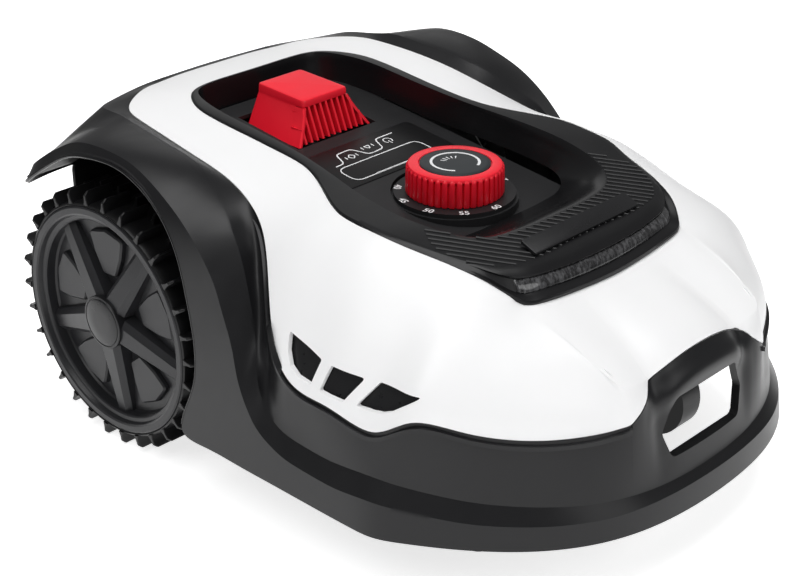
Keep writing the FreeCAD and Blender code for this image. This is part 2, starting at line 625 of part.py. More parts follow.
# Cutting deck: the carriage slides in the tub's guide tube and holds the blade motor.
CARRIAGE_LOW = "(Sizes.blade_height + 9)"
CARRIAGE_HIGH = "(Sizes.blade_height + 98)"
shell = cylinder("carriage_shell", "Sizes.carriage_radius", "%s - %s" % (CARRIAGE_HIGH, CARRIAGE_LOW),
                 "Sizes.deck_x", "0", CARRIAGE_LOW)
hollow = cylinder("carriage_hollow", "Sizes.carriage_radius - 3",
                  "%s - %s - 8" % (CARRIAGE_HIGH, CARRIAGE_LOW),
                  "Sizes.deck_x", "0", CARRIAGE_LOW + " + 3")
nut_bore = cylinder("carriage_nut_bore", "Sizes.spindle_radius + Sizes.running_fit", "20", "Sizes.deck_x",
                    "0", CARRIAGE_HIGH + " - 10")
shaft_bore = cylinder("carriage_shaft_bore", "Sizes.motor_shaft_radius + 1", "10", "Sizes.deck_x", "0",
                      CARRIAGE_LOW + " - 2")
keep("deck_carriage", cut("carriage", shell, hollow, nut_bore, shaft_bore))
MOTOR_LOW = "(%s + 3)" % CARRIAGE_LOW
motor = cylinder("blade_motor_can", "Sizes.motor_radius", "Sizes.motor_height", "Sizes.deck_x", "0",
                 MOTOR_LOW)
keep("blade_motor", cut("blade_motor_bored", motor, cylinder(
    "blade_motor_bore", "Sizes.motor_shaft_radius + Sizes.running_fit", "Sizes.motor_height + 2",
    "Sizes.deck_x", "0", MOTOR_LOW + " - 1")))
PIVOT = "(Sizes.disc_radius - Sizes.pivot_inset)"
DISC_LOW = "(Sizes.blade_height + Sizes.blade_thickness + 0.7)"
disc = cylinder("disc_plate", "Sizes.disc_radius", "Sizes.disc_thickness", "Sizes.deck_x", "0", DISC_LOW)
lightening = []
for number in range(3):
    angle = math.radians(60 + number * 120)
    lightening.append(cylinder("disc_window_%d" % number, "14", "20",
                               "Sizes.deck_x + 44 * %.6f" % math.cos(angle),
                               "44 * %.6f" % math.sin(angle), DISC_LOW + " - 5"))
shaft_seat = cylinder("disc_seat", "Sizes.motor_shaft_radius", "20", "Sizes.deck_x", "0", DISC_LOW + " - 5")
screw_seats = []
for number in range(int(size("blade_count"))):
    angle = math.radians(number * 360 / size("blade_count"))
    screw_seats.append(cylinder("disc_screw_seat_%d" % number, "Sizes.screw_radius", "5",
                                "Sizes.deck_x + %s * %.6f" % (PIVOT, math.cos(angle)),
                                "%s * %.6f" % (PIVOT, math.sin(angle)), "Sizes.blade_height - 2.7"))
keep("blade_disc", cut("disc", disc, shaft_seat, *(lightening + screw_seats)))
keep("motor_shaft", cylinder("shaft_rod", "Sizes.motor_shaft_radius",
                             "%s + Sizes.motor_height - 2 - %s + 6" % (MOTOR_LOW, DISC_LOW),
                             "Sizes.deck_x", "0", DISC_LOW + " - 6"))
SKID_LOW = "(Sizes.blade_height - 7)"
skid = cone("skid_dish", "Sizes.skid_radius - 6", "Sizes.skid_radius", "Sizes.skid_thickness", "Sizes.deck_x",
            "0", SKID_LOW)
keep("skid_plate", cut("skid", skid, cylinder("skid_bore", "Sizes.motor_shaft_radius + Sizes.running_fit",
                                              "10", "Sizes.deck_x", "0", SKID_LOW + " - 3")))
screw_items = []
for number in range(int(size("blade_count"))):
    angle = math.radians(number * 360 / size("blade_count"))
    px = "Sizes.deck_x + (Sizes.disc_radius - Sizes.pivot_inset) * %.6f" % math.cos(angle)
    py = "(Sizes.disc_radius - Sizes.pivot_inset) * %.6f" % math.sin(angle)
    blade = box("blade_%d_plate" % (number + 1), "Sizes.blade_length", "Sizes.blade_width",
                "Sizes.blade_thickness", "0", "0", "Sizes.blade_height")
    blade.setExpression("Placement", None)
    turn = FreeCAD.Rotation(FreeCAD.Vector(0, 0, 1), math.degrees(angle))
    blade.Placement = FreeCAD.Placement(vec(0, 0, 0), turn)
    back = "((Sizes.disc_radius - Sizes.pivot_inset) - Sizes.blade_width / 2)"
    half_blade = "Sizes.blade_width / 2"
    bind(blade, **{"Placement.Base.x": "%s + Sizes.deck_x + %s * %.6f + %s * %.6f" % (
        AXLE, back, math.cos(angle), half_blade, math.sin(angle)),
        "Placement.Base.y": "%s * %.6f - %s * %.6f" % (back, math.sin(angle), half_blade, math.cos(angle)),
        "Placement.Base.z": "Sizes.blade_height"})
    hole = cylinder("blade_%d_hole" % (number + 1), "Sizes.screw_radius + Sizes.running_fit", "10", px, py,
                    "Sizes.blade_height - 5")
    keep("blade_%d" % (number + 1), cut("blade_%d_cut" % (number + 1), blade, hole))
    head = cylinder("blade_screw_head_%d" % number, "4", "1.7", px, py, "Sizes.blade_height - 2.2")
    shank = cylinder("blade_screw_shank_%d" % number, "Sizes.screw_radius", "2.5 + Sizes.blade_thickness", px,
                     py, "Sizes.blade_height - 1")
    screw_items.append(fuse("blade_screw_%d" % number, head, shank))
keep("blade_screws", group("blade_screw_set", screw_items))

# Casters: a stem and fork turn in the tub, and the wheel rolls on a pin behind the stem.
for side, s in MIRRORED:
    cy = "%d * Sizes.caster_y" % s
    stem_item = cylinder(side + "_caster_stem_rod", "Sizes.caster_stem_radius", "46", "Sizes.caster_x", cy,
                         "2 * Sizes.caster_radius + 8")
    bridge = box(side + "_fork_bridge", "30", "Sizes.caster_width + 2 * Sizes.fork_wall + 3", "5",
                 "Sizes.caster_x - 4", cy, "2 * Sizes.caster_radius + 4")
    cheeks = []
    for end in (1, -1):
        cheek_y = "%s + %d * (Sizes.caster_width / 2 + 1.5 + Sizes.fork_wall / 2)" % (cy, end)
        cheeks.append(box("%s_fork_cheek_%s" % (side, "in" if end > 0 else "out"), "14", "Sizes.fork_wall",
                          "Sizes.caster_radius + 12", "Sizes.caster_x - Sizes.caster_trail", cheek_y,
                          "Sizes.caster_radius - 6"))
    seat = cylinder(side + "_pin_seat", "Sizes.caster_pin_radius", "60",
                    "Sizes.caster_x - Sizes.caster_trail", "%s - 30" % cy, "Sizes.caster_radius", "Y")
    keep(side + "_caster_fork", cut(side + "_fork", fuse(side + "_fork_blank", stem_item, bridge, *cheeks),
                                    seat))
    wheel_low = "%s - Sizes.caster_width / 2" % cy
    disc_item = cylinder(side + "_caster_disc", "Sizes.caster_radius", "Sizes.caster_width",
                         "Sizes.caster_x - Sizes.caster_trail", wheel_low, "Sizes.caster_radius", "Y")
    pin_hole = cylinder(side + "_caster_bore", "Sizes.caster_pin_radius + Sizes.running_fit",
                        "Sizes.caster_width + 4", "Sizes.caster_x - Sizes.caster_trail", wheel_low + " - 2",
                        "Sizes.caster_radius", "Y")
    keep(side + "_caster_wheel", cut(side + "_caster_roller", disc_item, pin_hole))
    pin_low = "%s - Sizes.caster_width / 2 - 1.5 - Sizes.fork_wall" % cy
    keep(side + "_caster_pin", cylinder(side + "_caster_axle", "Sizes.caster_pin_radius",
                                        "Sizes.caster_width + 3 + 2 * Sizes.fork_wall",
                                        "Sizes.caster_x - Sizes.caster_trail", pin_low,
                                         "Sizes.caster_radius", "Y"))
bushes = []
for side, s in MIRRORED:
    cy = "%d * Sizes.caster_y" % s
    sleeve = cylinder(side + "_bush_sleeve", "Sizes.caster_stem_radius + 3", "30", "Sizes.caster_x", cy,
                      "Sizes.tub_floor_front")
    bore = cylinder(side + "_bush_bore", "Sizes.caster_stem_radius + Sizes.running_fit", "34",
                    "Sizes.caster_x", cy, "Sizes.tub_floor_front - 2")
    bushes.append(cut(side + "_bush", sleeve, bore))
keep("caster_bushes", group("bush_set", bushes))

mounts = []
for number, (x, y) in enumerate(POSTS):
    mounts.append(cylinder("mount_%d" % number, "9", str(MOUNT_HEIGHT), str(x), str(y),
                           "Sizes.tub_top + Sizes.seal_thickness + Sizes.lid_thickness"))
keep("float_mounts", group("mount_set", mounts))

lid_screws = []
LID_SCREWS = [(-80, 108), (40, 118), (150, 147), (250, 147), (322, 90)]
for number, (x, y) in enumerate(LID_SCREWS):
    for s in (1, -1):
        lid_screws.append(cylinder("lid_screw_%d_%s" % (number, "l" if s > 0 else "r"), "3.5", "2.2", str(x),
                                   str(s * y), "Sizes.tub_top + Sizes.seal_thickness + Sizes.lid_thickness"))
keep("lid_screws", group("lid_screw_set", lid_screws))
contacts = []
for s in (1, -1):
    contacts.append(box("contact_%s" % ("l" if s > 0 else "r"), "1.5", "14", "26", "Sizes.tub_front_x + 0.75",
                        str(s * 26), "Sizes.tub_floor_front + 14"))
keep("charging_contacts", group("contact_set", contacts))


# ---------------------------------------------------------------- drive wheels
def plane_of(body, role):
    return next(item for item in body.Origin.OriginFeatures if item.Role == role)


def sketch_on(body, name, role):
    sketch = body.newObject("Sketcher::SketchObject", name)
    sketch.AttachmentSupport = [(plane_of(body, role), "")]
    sketch.MapMode = "FlatFace"
    return sketch


def outline(sketch, points):
    count = len(points)
    lines = [Part.LineSegment(vec(*points[n], 0), vec(*points[(n + 1) % count], 0)) for n in range(count)]
    sketch.addGeometry(lines, False)
    for n in range(count):
        sketch.addConstraint(Sketcher.Constraint("Coincident", n, 2, (n + 1) % count, 1))


def place_body(body, s, y_text):
    """Stands a body that was drawn round its own Z axis on the drive axle; s is its side."""
    body.Placement = FreeCAD.Placement(vec(0, 0, 0), FreeCAD.Rotation(FreeCAD.Vector(1, 0, 0), -90 * s))
    body.setExpression("Placement.Base.x", AXLE)
    body.setExpression("Placement.Base.y", "%d * %s" % (s, y_text))
    body.setExpression("Placement.Base.z", "Sizes.wheel_radius")


def revolve(body, name, points):
    sketch = sketch_on(body, name + "_profile", "XZ_Plane")
    outline(sketch, points)
    turned = body.newObject("PartDesign::Revolution", name)
    turned.Profile = sketch
    turned.ReferenceAxis = (sketch, ["V_Axis"])
    turned.Angle = 360
    doc.recompute()
    return turned


def polar(body, name, feature, count):
    pattern = body.newObject("PartDesign::PolarPattern", name)
    pattern.Originals = [feature]
    pattern.Axis = (plane_of(body, "Z_Axis"), [""])
    pattern.Angle = 360
    pattern.Occurrences = count
    body.Tip = pattern
    doc.recompute()
    return pattern


tyre_half = size("tyre_width") / 2
carcass, tip, rim_r = size("carcass_radius"), size("wheel_radius"), size("rim_radius")
for side, s in MIRRORED:
    tyre = doc.addObject("PartDesign::Body", side + "_tyre_body")
    revolve(tyre, side + "_tyre_ring", [
        (rim_r, -tyre_half + 3), (carcass - 2, -tyre_half), (carcass, -tyre_half + 2),
        (carcass, tyre_half - 2), (carcass - 2, tyre_half), (rim_r, tyre_half - 1)])
    for row, low, turn in (("outer", 2, 0), ("inner", -tyre_half + 1, 0.5)):
        profile = sketch_on(tyre, "%s_%s_cleat_profile" % (side, row), "XY_Plane")
        profile.AttachmentOffset = FreeCAD.Placement(vec(0, 0, low), FreeCAD.Rotation(
            FreeCAD.Vector(0, 0, 1), turn * 360 / size("cleat_count")))
        thick = size("cleat_thickness")
        chord = math.sqrt(tip ** 2 - (thick / 3) ** 2)
        outline(profile, [(carcass - 1.5, -thick), (chord, -thick / 3), (chord, thick / 3),
                          (carcass - 1.5, thick)])
        cleat = tyre.newObject("PartDesign::Pad", "%s_%s_cleat" % (side, row))
        cleat.Profile = profile
        cleat.Length = tyre_half - 3
        doc.recompute()
        polar(tyre, "%s_%s_cleats" % (side, row), cleat, int(size("cleat_count")))
    place_body(tyre, s, wheel_y)
    keep(side + "_tyre", tyre)

    rim = doc.addObject("PartDesign::Body", side + "_rim_body")
    shaft_r, cap_r = size("wheel_shaft_radius"), size("hub_cap_radius")
    face = tyre_half - 1
    hub = face + size("hub_rise")
    barrel = revolve(rim, side + "_rim_barrel", [
        (shaft_r, -6), (20, -6), (20, face - 18), (rim_r - 8, face - 18), (rim_r - 8, -tyre_half + 6),
        (rim_r, -tyre_half + 6), (rim_r, face), (rim_r - 8, face), (rim_r - 11, face - 8), (30, hub - 5),
        (cap_r + 2, hub - 1), (cap_r, hub - 1), (cap_r, hub - 4), (shaft_r, hub - 4)])
    pocket_sketch = sketch_on(rim, side + "_pocket_profile", "XY_Plane")
    pocket_sketch.AttachmentOffset = FreeCAD.Placement(vec(0, 0, face - 12), FreeCAD.Rotation())
    wide, near = rim_r - 16, 34
    reach = math.radians(22)
    far_x, far_y = wide * math.cos(reach), wide * math.sin(reach)
    outline(pocket_sketch, [(near, -6), (near, 6), (wide * 0.75, 20), (far_x, far_y), (wide, 0),
                            (far_x, -far_y), (wide * 0.75, -20)])
    pocket = rim.newObject("PartDesign::Pocket", side + "_pocket")
    pocket.Profile = pocket_sketch
    pocket.Length = 20
    pocket.Reversed = True
    doc.recompute()
    if pocket.Shape.Volume >= barrel.Shape.Volume - 1:
        raise RuntimeError("the rim's pocket cut nothing")
    polar(rim, side + "_pockets", pocket, 5)
    place_body(rim, s, wheel_y)
    keep(side + "_rim", rim)

    hub_y = "(Sizes.overall_width / 2 - Sizes.wheel_inset + Sizes.hub_rise - Sizes.hub_cap_depth)"
    cap_y = hub_y + " - 1"
    low = cap_y if s > 0 else "-(%s) - Sizes.hub_cap_depth" % cap_y
    keep(side + "_hub_cap", cylinder(side + "_cap_disc", "Sizes.hub_cap_radius - Sizes.part_gap / 2",
                                     "Sizes.hub_cap_depth", "0", low, "Sizes.wheel_radius", "Y"))
    shaft_start = "Sizes.tub_half_rear - 20"
    shaft_length = "%s - 1.5 - (%s)" % (hub_y, shaft_start)
    low = shaft_start if s > 0 else "-(%s) - (%s)" % (shaft_start, shaft_length)
    keep(side + "_wheel_shaft", cylinder(side + "_shaft_rod", "Sizes.wheel_shaft_radius", shaft_length, "0",
                                         low, "Sizes.wheel_radius", "Y"))

doc.recompute()
for item in doc.Objects:
    if "Invalid" in item.State or "Error" in item.State:
        raise RuntimeError("%s did not rebuild: %s" % (item.Label, item.State))
for name, item in finished:
    if item.Shape.isNull() or not item.Shape.isValid() or not item.Shape.Solids:
        raise RuntimeError("%s has no valid solid" % name)

os.makedirs("parts", exist_ok=True)
for name, item in finished:
    item.Shape.exportStep("parts/%s.step" % name)
    bounds = item.Shape.BoundBox
    print("%-20s %3d solids %12.0f mm3  x %.1f..%.1f y %.1f..%.1f z %.1f..%.1f" % (
        name, len(item.Shape.Solids), item.Shape.Volume, bounds.XMin - AXLE_X, bounds.XMax - AXLE_X,
        bounds.YMin, bounds.YMax, bounds.ZMin, bounds.ZMax))
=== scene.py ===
import json
import math

import bmesh
import bpy
import numpy as np
from bpy.props import FloatProperty, FloatVectorProperty, IntProperty, PointerProperty
from bpy.types import Operator, Panel, PropertyGroup
from mathutils import Matrix, Vector


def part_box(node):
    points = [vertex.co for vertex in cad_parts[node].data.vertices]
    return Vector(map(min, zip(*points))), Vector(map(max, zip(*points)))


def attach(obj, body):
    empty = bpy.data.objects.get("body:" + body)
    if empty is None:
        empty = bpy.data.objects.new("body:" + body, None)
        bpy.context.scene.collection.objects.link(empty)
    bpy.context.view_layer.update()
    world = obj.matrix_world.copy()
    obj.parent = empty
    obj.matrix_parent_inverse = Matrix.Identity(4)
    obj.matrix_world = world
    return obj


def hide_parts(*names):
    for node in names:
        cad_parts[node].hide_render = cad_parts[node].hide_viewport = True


bl_info = {
    "name": "Robotic lawn mower",
    "version": (1, 0, 0),
    "blender": (4, 5, 0),
    "location": "View3D > Sidebar > Mower",
    "description": "Builds the visible pieces of a robotic lawn mower around its frame",
    "category": "Object",
}

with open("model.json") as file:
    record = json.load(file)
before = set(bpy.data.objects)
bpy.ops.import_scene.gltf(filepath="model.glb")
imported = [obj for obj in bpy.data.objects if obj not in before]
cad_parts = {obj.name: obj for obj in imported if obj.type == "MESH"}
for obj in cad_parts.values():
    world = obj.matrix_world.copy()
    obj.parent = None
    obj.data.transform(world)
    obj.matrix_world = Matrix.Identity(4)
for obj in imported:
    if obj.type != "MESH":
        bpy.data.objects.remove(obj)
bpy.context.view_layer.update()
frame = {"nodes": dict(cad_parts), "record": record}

# Shapes are drawn in millimetres from the drive axle, with x forward, y left and z up from the ground.
TYRE_LOW, TYRE_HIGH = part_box("left_tyre")
AXLE_X = 1000 * (TYRE_LOW.x + TYRE_HIGH.x) / 2
AXLE_Z = 1000 * (TYRE_LOW.z + TYRE_HIGH.z) / 2
WHEEL_FACE = 1000 * TYRE_HIGH.y
DIAL_LOW, DIAL_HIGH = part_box("dial_knob")
DIAL_X = 1000 * (DIAL_LOW.x + DIAL_HIGH.x) / 2 - AXLE_X
DIAL_TOP = 1000 * DIAL_HIGH.z
MIRROR_Y = (1, -1, 1)


# ---------------------------------------------------------------- node trees
class Flow:
    """A socket that can be used in sums; each sum adds its Math node."""

    def __init__(self, graph, socket):
        self.graph, self.socket = graph, socket

    def _math(self, operation, first, second):
        return self.graph.out("ShaderNodeMath", {"operation": operation}, {0: first, 1: second})

    def __add__(self, other):
        return self._math("ADD", self, other)

    def __radd__(self, other):
        return self._math("ADD", other, self)

    def __sub__(self, other):
        return self._math("SUBTRACT", self, other)

    def __rsub__(self, other):
        return self._math("SUBTRACT", other, self)

    def __mul__(self, other):
        return self._math("MULTIPLY", self, other)

    def __rmul__(self, other):
        return self._math("MULTIPLY", other, self)

    def __gt__(self, other):
        return self._math("GREATER_THAN", self, other)


class Graph:
    """A node tree filled by one method."""

    def __init__(self, tree):
        self.tree = tree

    def node(self, kind, settings=None, sockets=None):
        made = self.tree.nodes.new(kind)
        for key, value in (settings or {}).items():
            if key == "stops":
                ramp = made.color_ramp.elements
                while len(ramp) < len(value):
                    ramp.new(0.5)
                for element, (place, colour) in zip(ramp, value):
                    element.position, element.color = place, colour
            else:
                setattr(made, key, value)
        for key, value in (sockets or {}).items():
            self.join(value, made.inputs[key])
        return made

    def join(self, value, socket):
        if isinstance(value, Flow):
            self.tree.links.new(value.socket, socket)
        else:
            socket.default_value = value

    def out(self, kind, settings=None, sockets=None, output=0):
        return Flow(self, self.node(kind, settings, sockets).outputs[output])


class Finish(Graph):
    """A material with its Principled shader."""

    def __init__(self, name, colour, roughness, **fixed):
        self.material = bpy.data.materials.new(name)
        self.material.use_nodes = True
        super().__init__(self.material.node_tree)
        self.shader = next(n for n in self.tree.nodes if n.type == "BSDF_PRINCIPLED")
        self.material.diffuse_color = (*colour, 1)
        self.shader.inputs["Base Color"].default_value = (*colour, 1)
        self.shader.inputs["Roughness"].default_value = roughness
        for key, value in fixed.items():
            self.shader.inputs[key.replace("_", " ")].default_value = value
        self.place = self.out("ShaderNodeTexCoord", output=3)

    def noise(self, size_mm, detail=2.0, stretch=(1, 1, 1), rough=0.5):
        scaled = self.out("ShaderNodeMapping", {}, {0: self.place,
                                                    3: [1000 / size_mm * s for s in stretch]})
        return self.out("ShaderNodeTexNoise", {}, {"Vector": scaled, "Scale": 1.0, "Detail": detail,
                                                   "Roughness": rough})

    def tint(self, mask, first, second):
        """Base colour that goes from first to second with a mask."""
        mixed = self.out("ShaderNodeMix", {"data_type": "RGBA"}, {0: mask, 6: (*first, 1), 7: (*second, 1)},
                         output=2)
        self.join(mixed, self.shader.inputs["Base Color"])
        return mixed

    def rough(self, value):
        self.join(value, self.shader.inputs["Roughness"])

    def bump(self, height, depth_mm, strength=1.0):
        bumped = self.out("ShaderNodeBump", {}, {"Strength": strength, "Distance": depth_mm / 1000,
                                                 "Height": height})
        self.join(bumped, self.shader.inputs["Normal"])


def moulded(name, colour, roughness, grain_mm=0.5, grain_depth=0.02, spread=0.08, shade=0.12, **fixed):
    """Moulded plastic: a fine spark-eroded grain, faint flow marks and slightly uneven gloss."""
    fixed.setdefault("Specular_IOR_Level", 0.28)
    finish = Finish(name, colour, roughness, **fixed)
    flow = finish.noise(55, 3, (1, 1, 0.5))
    grain = finish.noise(grain_mm, 2)
    smear = finish.noise(9, 4, (1, 0.35, 1))
    darker = [c * (1 - shade) for c in colour]
    lighter = [min(1, c * (1 + shade)) for c in colour]
    finish.tint(flow * 0.7 + smear * 0.3, darker, lighter)
    finish.rough(roughness - spread + spread * 2 * smear * (0.6 + 0.4 * grain))
    finish.bump(grain, grain_depth)
    return finish.material


def metal(name, colour, roughness, stretch=(1, 1, 1), **fixed):
    """Machined or drawn metal: fine lines along the stretch, with faint stains."""
    finish = Finish(name, colour, roughness, Metallic=1.0, **fixed)
    lines = finish.noise(0.6, 3, stretch)
    stains = finish.noise(14, 4)
    finish.tint(stains, [c * 0.72 for c in colour], colour)
    finish.rough(roughness * 0.7 + roughness * 0.6 * lines)
    finish.bump(lines, 0.01)
    return finish.material


def board_green(name):
    finish = Finish(name, (0.01, 0.09, 0.03), 0.35, Coat_Weight=0.4)
    cells = finish.out("ShaderNodeTexVoronoi", {"feature": "DISTANCE_TO_EDGE"}, {"Vector": finish.place,
                                                                                 "Scale": 170.0})
    pads = finish.out("ShaderNodeTexVoronoi", {"distance": "CHEBYCHEV"}, {"Vector": finish.place,
                                                                          "Scale": 260.0})
    mask = (cells > 0.06) * (pads > 0.12)
    finish.tint(mask, (0.45, 0.36, 0.16), (0.01, 0.1, 0.035))
    finish.rough(0.3 + 0.25 * finish.noise(6))
    finish.bump(mask, 0.03)
    return finish.material


def streaked_lens(name):
    """Dark clear plastic over upright prisms; its colour is painted with light and dark upright streaks, which are
    painted highlights and shade standing for the prisms catching the light.
    """
    finish = Finish(name, (0.05, 0.052, 0.055), 0.1, Coat_Weight=0.6, Coat_Roughness=0.06)
    streaks = finish.noise(2.2, 2, (1, 1, 0.04))
    # Painted highlights and shade: the streak noise lightens and darkens the lens colour in upright bands.
    finish.tint((streaks - 0.4) * 2.4, (0.012, 0.012, 0.013), (0.11, 0.11, 0.115))
    finish.rough(0.08 + 0.14 * finish.noise(7))
    finish.bump(streaks, 0.06)
    return finish.material


FINISHES = {}


def make_finishes(sizes):
    white, black, red = tuple(sizes.white), tuple(sizes.black), tuple(sizes.red)
    FINISHES.update({
        "white_shell": moulded("GlossWhiteShell", white, 0.38, 0.7, 0.006, 0.04, 0.012, Coat_Weight=0.12,
                               Coat_Roughness=0.3),
        "black_shell": moulded("SatinCharcoalShell", black, 0.36, 0.45, 0.012, 0.07, 0.1),
        "ring_top": moulded("RingSatinBlack", [c * 0.8 for c in black], 0.33, 0.4, 0.012, 0.07, 0.1),
        "ring_slope": moulded("RingPolishedSlope", [c * 0.75 for c in black], 0.24, 0.6, 0.006, 0.05, 0.08),
        "clear_lens": streaked_lens("SmokyLens"),
        "lens_prism": moulded("LensReflector", (0.12, 0.12, 0.12), 0.2, 1.5, 0.02, 0.08, 0.2, Metallic=0.6),
        "plate": moulded("NamePlateBlack", (0.012, 0.012, 0.013), 0.3, 0.35, 0.02, 0.06, 0.15),
        "chassis_plastic": moulded("ChassisBlack", (0.014, 0.014, 0.015), 0.5, 0.6, 0.03, 0.08, 0.2),
        "tray": moulded("TrayBlack", (0.01, 0.01, 0.011), 0.3, 0.6, 0.012, 0.07, 0.15),
        "keypad_film": moulded("KeypadFilm", (0.006, 0.006, 0.0065), 0.4, 0.25, 0.012, 0.04, 0.12),
        "print": moulded("PrintedWhite", (0.78, 0.79, 0.8), 0.4, 0.4, 0.008, 0.06, 0.05),
        "circuit_board": board_green("CircuitBoard"),
        "red_plastic": moulded("RedPlastic", red, 0.33, 0.5, 0.012, 0.08, 0.1, Coat_Weight=0.15,
                               Coat_Roughness=0.25),
        "red_texture": moulded("RedTexturedTop", red, 0.42, 0.35, 0.03, 0.08, 0.12),
        "dial_label": moulded("DialLabelGrey", (0.02, 0.024, 0.027), 0.4, 0.3, 0.008, 0.05, 0.12),
        "rubber": moulded("CasterRubber", (0.011, 0.011, 0.012), 0.6, 0.8, 0.05, 0.1, 0.2),
        "tyre": moulded("TyreBlack", (0.007, 0.007, 0.0075), 0.36, 0.7, 0.02, 0.1, 0.2),
        "rim_plastic": moulded("RimCharcoal", (0.02, 0.02, 0.022), 0.33, 0.45, 0.012, 0.08, 0.12),
        "rim_gloss": moulded("HubCapBlack", (0.012, 0.012, 0.013), 0.3, 0.4, 0.01, 0.06, 0.12),
        "steel": metal("BrightSteel", (0.62, 0.63, 0.65), 0.28, (1, 1, 6)),
        "motor_metal": metal("MotorZinc", (0.5, 0.5, 0.49), 0.38, (4, 1, 4)),
        "bush_bronze": metal("BushBronze", (0.55, 0.34, 0.13), 0.35, (1, 1, 8)),
        "disc_plastic": moulded("BladeDiscBlack", (0.02, 0.02, 0.02), 0.42, 0.7, 0.03, 0.08, 0.2),
    })


# ---------------------------------------------------------------- geometry nodes
class Geometry(Graph):
    """A geometry node tree with named inputs."""

    def __init__(self, name, inputs):
        super().__init__(bpy.data.node_groups.new(name, "GeometryNodeTree"))
        face = self.tree.interface
        face.new_socket("Geometry", in_out="OUTPUT", socket_type="NodeSocketGeometry")
        face.new_socket("Geometry", in_out="INPUT", socket_type="NodeSocketGeometry")
        for label, kind in inputs:
            face.new_socket(label, in_out="INPUT", socket_type=kind)
        self.given = self.node("NodeGroupInput")

    def input(self, label):
        return Flow(self, self.given.outputs[label])

    def end(self, geometry, material):
        real = self.out("GeometryNodeRealizeInstances", {}, {0: geometry})
        painted = self.out("GeometryNodeSetMaterial", {}, {0: real, "Material": material})
        self.node("NodeGroupOutput", {}, {0: painted})
        return self.tree


def around_tree():
    """Copies the mesh round its own upright axis."""
    graph = Geometry("RepeatAround", [("Count", "NodeSocketInt"), ("Turn", "NodeSocketFloat"),
                                      ("Finish", "NodeSocketMaterial")])
    line = graph.out("GeometryNodeMeshLine", {"mode": "OFFSET"}, {"Count": graph.input("Count"),
                                                                  "Offset": (0, 0, 0)})
    turn = graph.out("GeometryNodeInputIndex") * graph.input("Turn")
    rotation = graph.out("ShaderNodeCombineXYZ", {}, {2: turn})
    copies = graph.out("GeometryNodeInstanceOnPoints", {}, {"Points": line,
                                                            "Instance": graph.input("Geometry"), "Rotation": rotation})
    return graph.end(copies, graph.input("Finish"))


TREES = {}


def run_tree(obj, kind, **inputs):
    if kind not in TREES:
        TREES[kind] = around_tree()
    tree = TREES[kind]
    modifier = obj.modifiers.new("Repeat", "NODES")
    modifier.node_group = tree
    ids = {item.name: item.identifier for item in tree.interface.items_tree if item.item_type == "SOCKET"}
    for label, value in inputs.items():
        modifier[ids[label]] = value
    return settle(obj)


def settle(obj):
    """Turns an object's modifiers into its plain mesh."""
    graph = bpy.context.evaluated_depsgraph_get()
    mesh = bpy.data.meshes.new_from_object(obj.evaluated_get(graph), preserve_all_data_layers=True,
                                           depsgraph=graph)
    obj.modifiers.clear()
    old = obj.data
    obj.data = mesh
    bpy.data.meshes.remove(old)
    return obj


# ---------------------------------------------------------------- shape helpers
def spline(knots, at):
    """Natural cubic curve through rows of knots at whole-number places 0, 1, 2 and so on of a spacing that
    follows the square root of their distances; at runs from 0 to 1."""
    knots = np.asarray(knots, float)
    flat = knots.reshape(len(knots), -1)
    gaps = np.sqrt(np.linalg.norm(np.diff(flat, axis=0), axis=1)) + 1e-6
    t = np.concatenate([[0], np.cumsum(gaps)])
    n = len(t)
    system = np.zeros((n, n))
    right = np.zeros_like(flat)
    system[0, 0] = system[-1, -1] = 1
    for i in range(1, n - 1):
        system[i, i - 1:i + 2] = gaps[i - 1], 2 * (gaps[i - 1] + gaps[i]), gaps[i]
        right[i] = 6 * ((flat[i + 1] - flat[i]) / gaps[i] - (flat[i] - flat[i - 1]) / gaps[i - 1])
    bend = np.linalg.solve(system, right)
    x = np.asarray(at, float) * t[-1]
    i = np.clip(np.searchsorted(t, x, "right") - 1, 0, n - 2)
    h, a, b = gaps[i][:, None], (t[i + 1] - x)[:, None], (x - t[i])[:, None]
    value = (bend[i] * a ** 3 + bend[i + 1] * b ** 3) / (6 * h)
    value += (flat[i] / h - bend[i] * h / 6) * a + (flat[i + 1] / h - bend[i + 1] * h / 6) * b
    return value.reshape(len(x), *knots.shape[1:])


def with_mirror(table, start=True, end=True):
    """A station table with its mirror images added beyond y = 0."""
    table = np.asarray(table, float)
    flip = table * np.array(MIRROR_Y)
    return np.concatenate(([flip[2:0:-1]] if start else []) + [table] + ([flip[-2:-4:-1]] if end else []))


def half_spline(table, count, start=True, end=True):
    """Dense stations over the half at y >= 0, smooth across y = 0 at the marked ends."""
    full = with_mirror(table, start, end)
    flat = full.reshape(len(full), -1)
    gaps = np.sqrt(np.linalg.norm(np.diff(flat, axis=0), axis=1)) + 1e-6
    t = np.concatenate([[0], np.cumsum(gaps)]) / gaps.sum()
    first, last = (2 if start else 0), len(full) - 1 - (2 if end else 0)
    return spline(full, np.linspace(t[first], t[last], count))


def smooth_step(x):
    x = np.clip(x, 0, 1)
    return x * x * (3 - 2 * x)


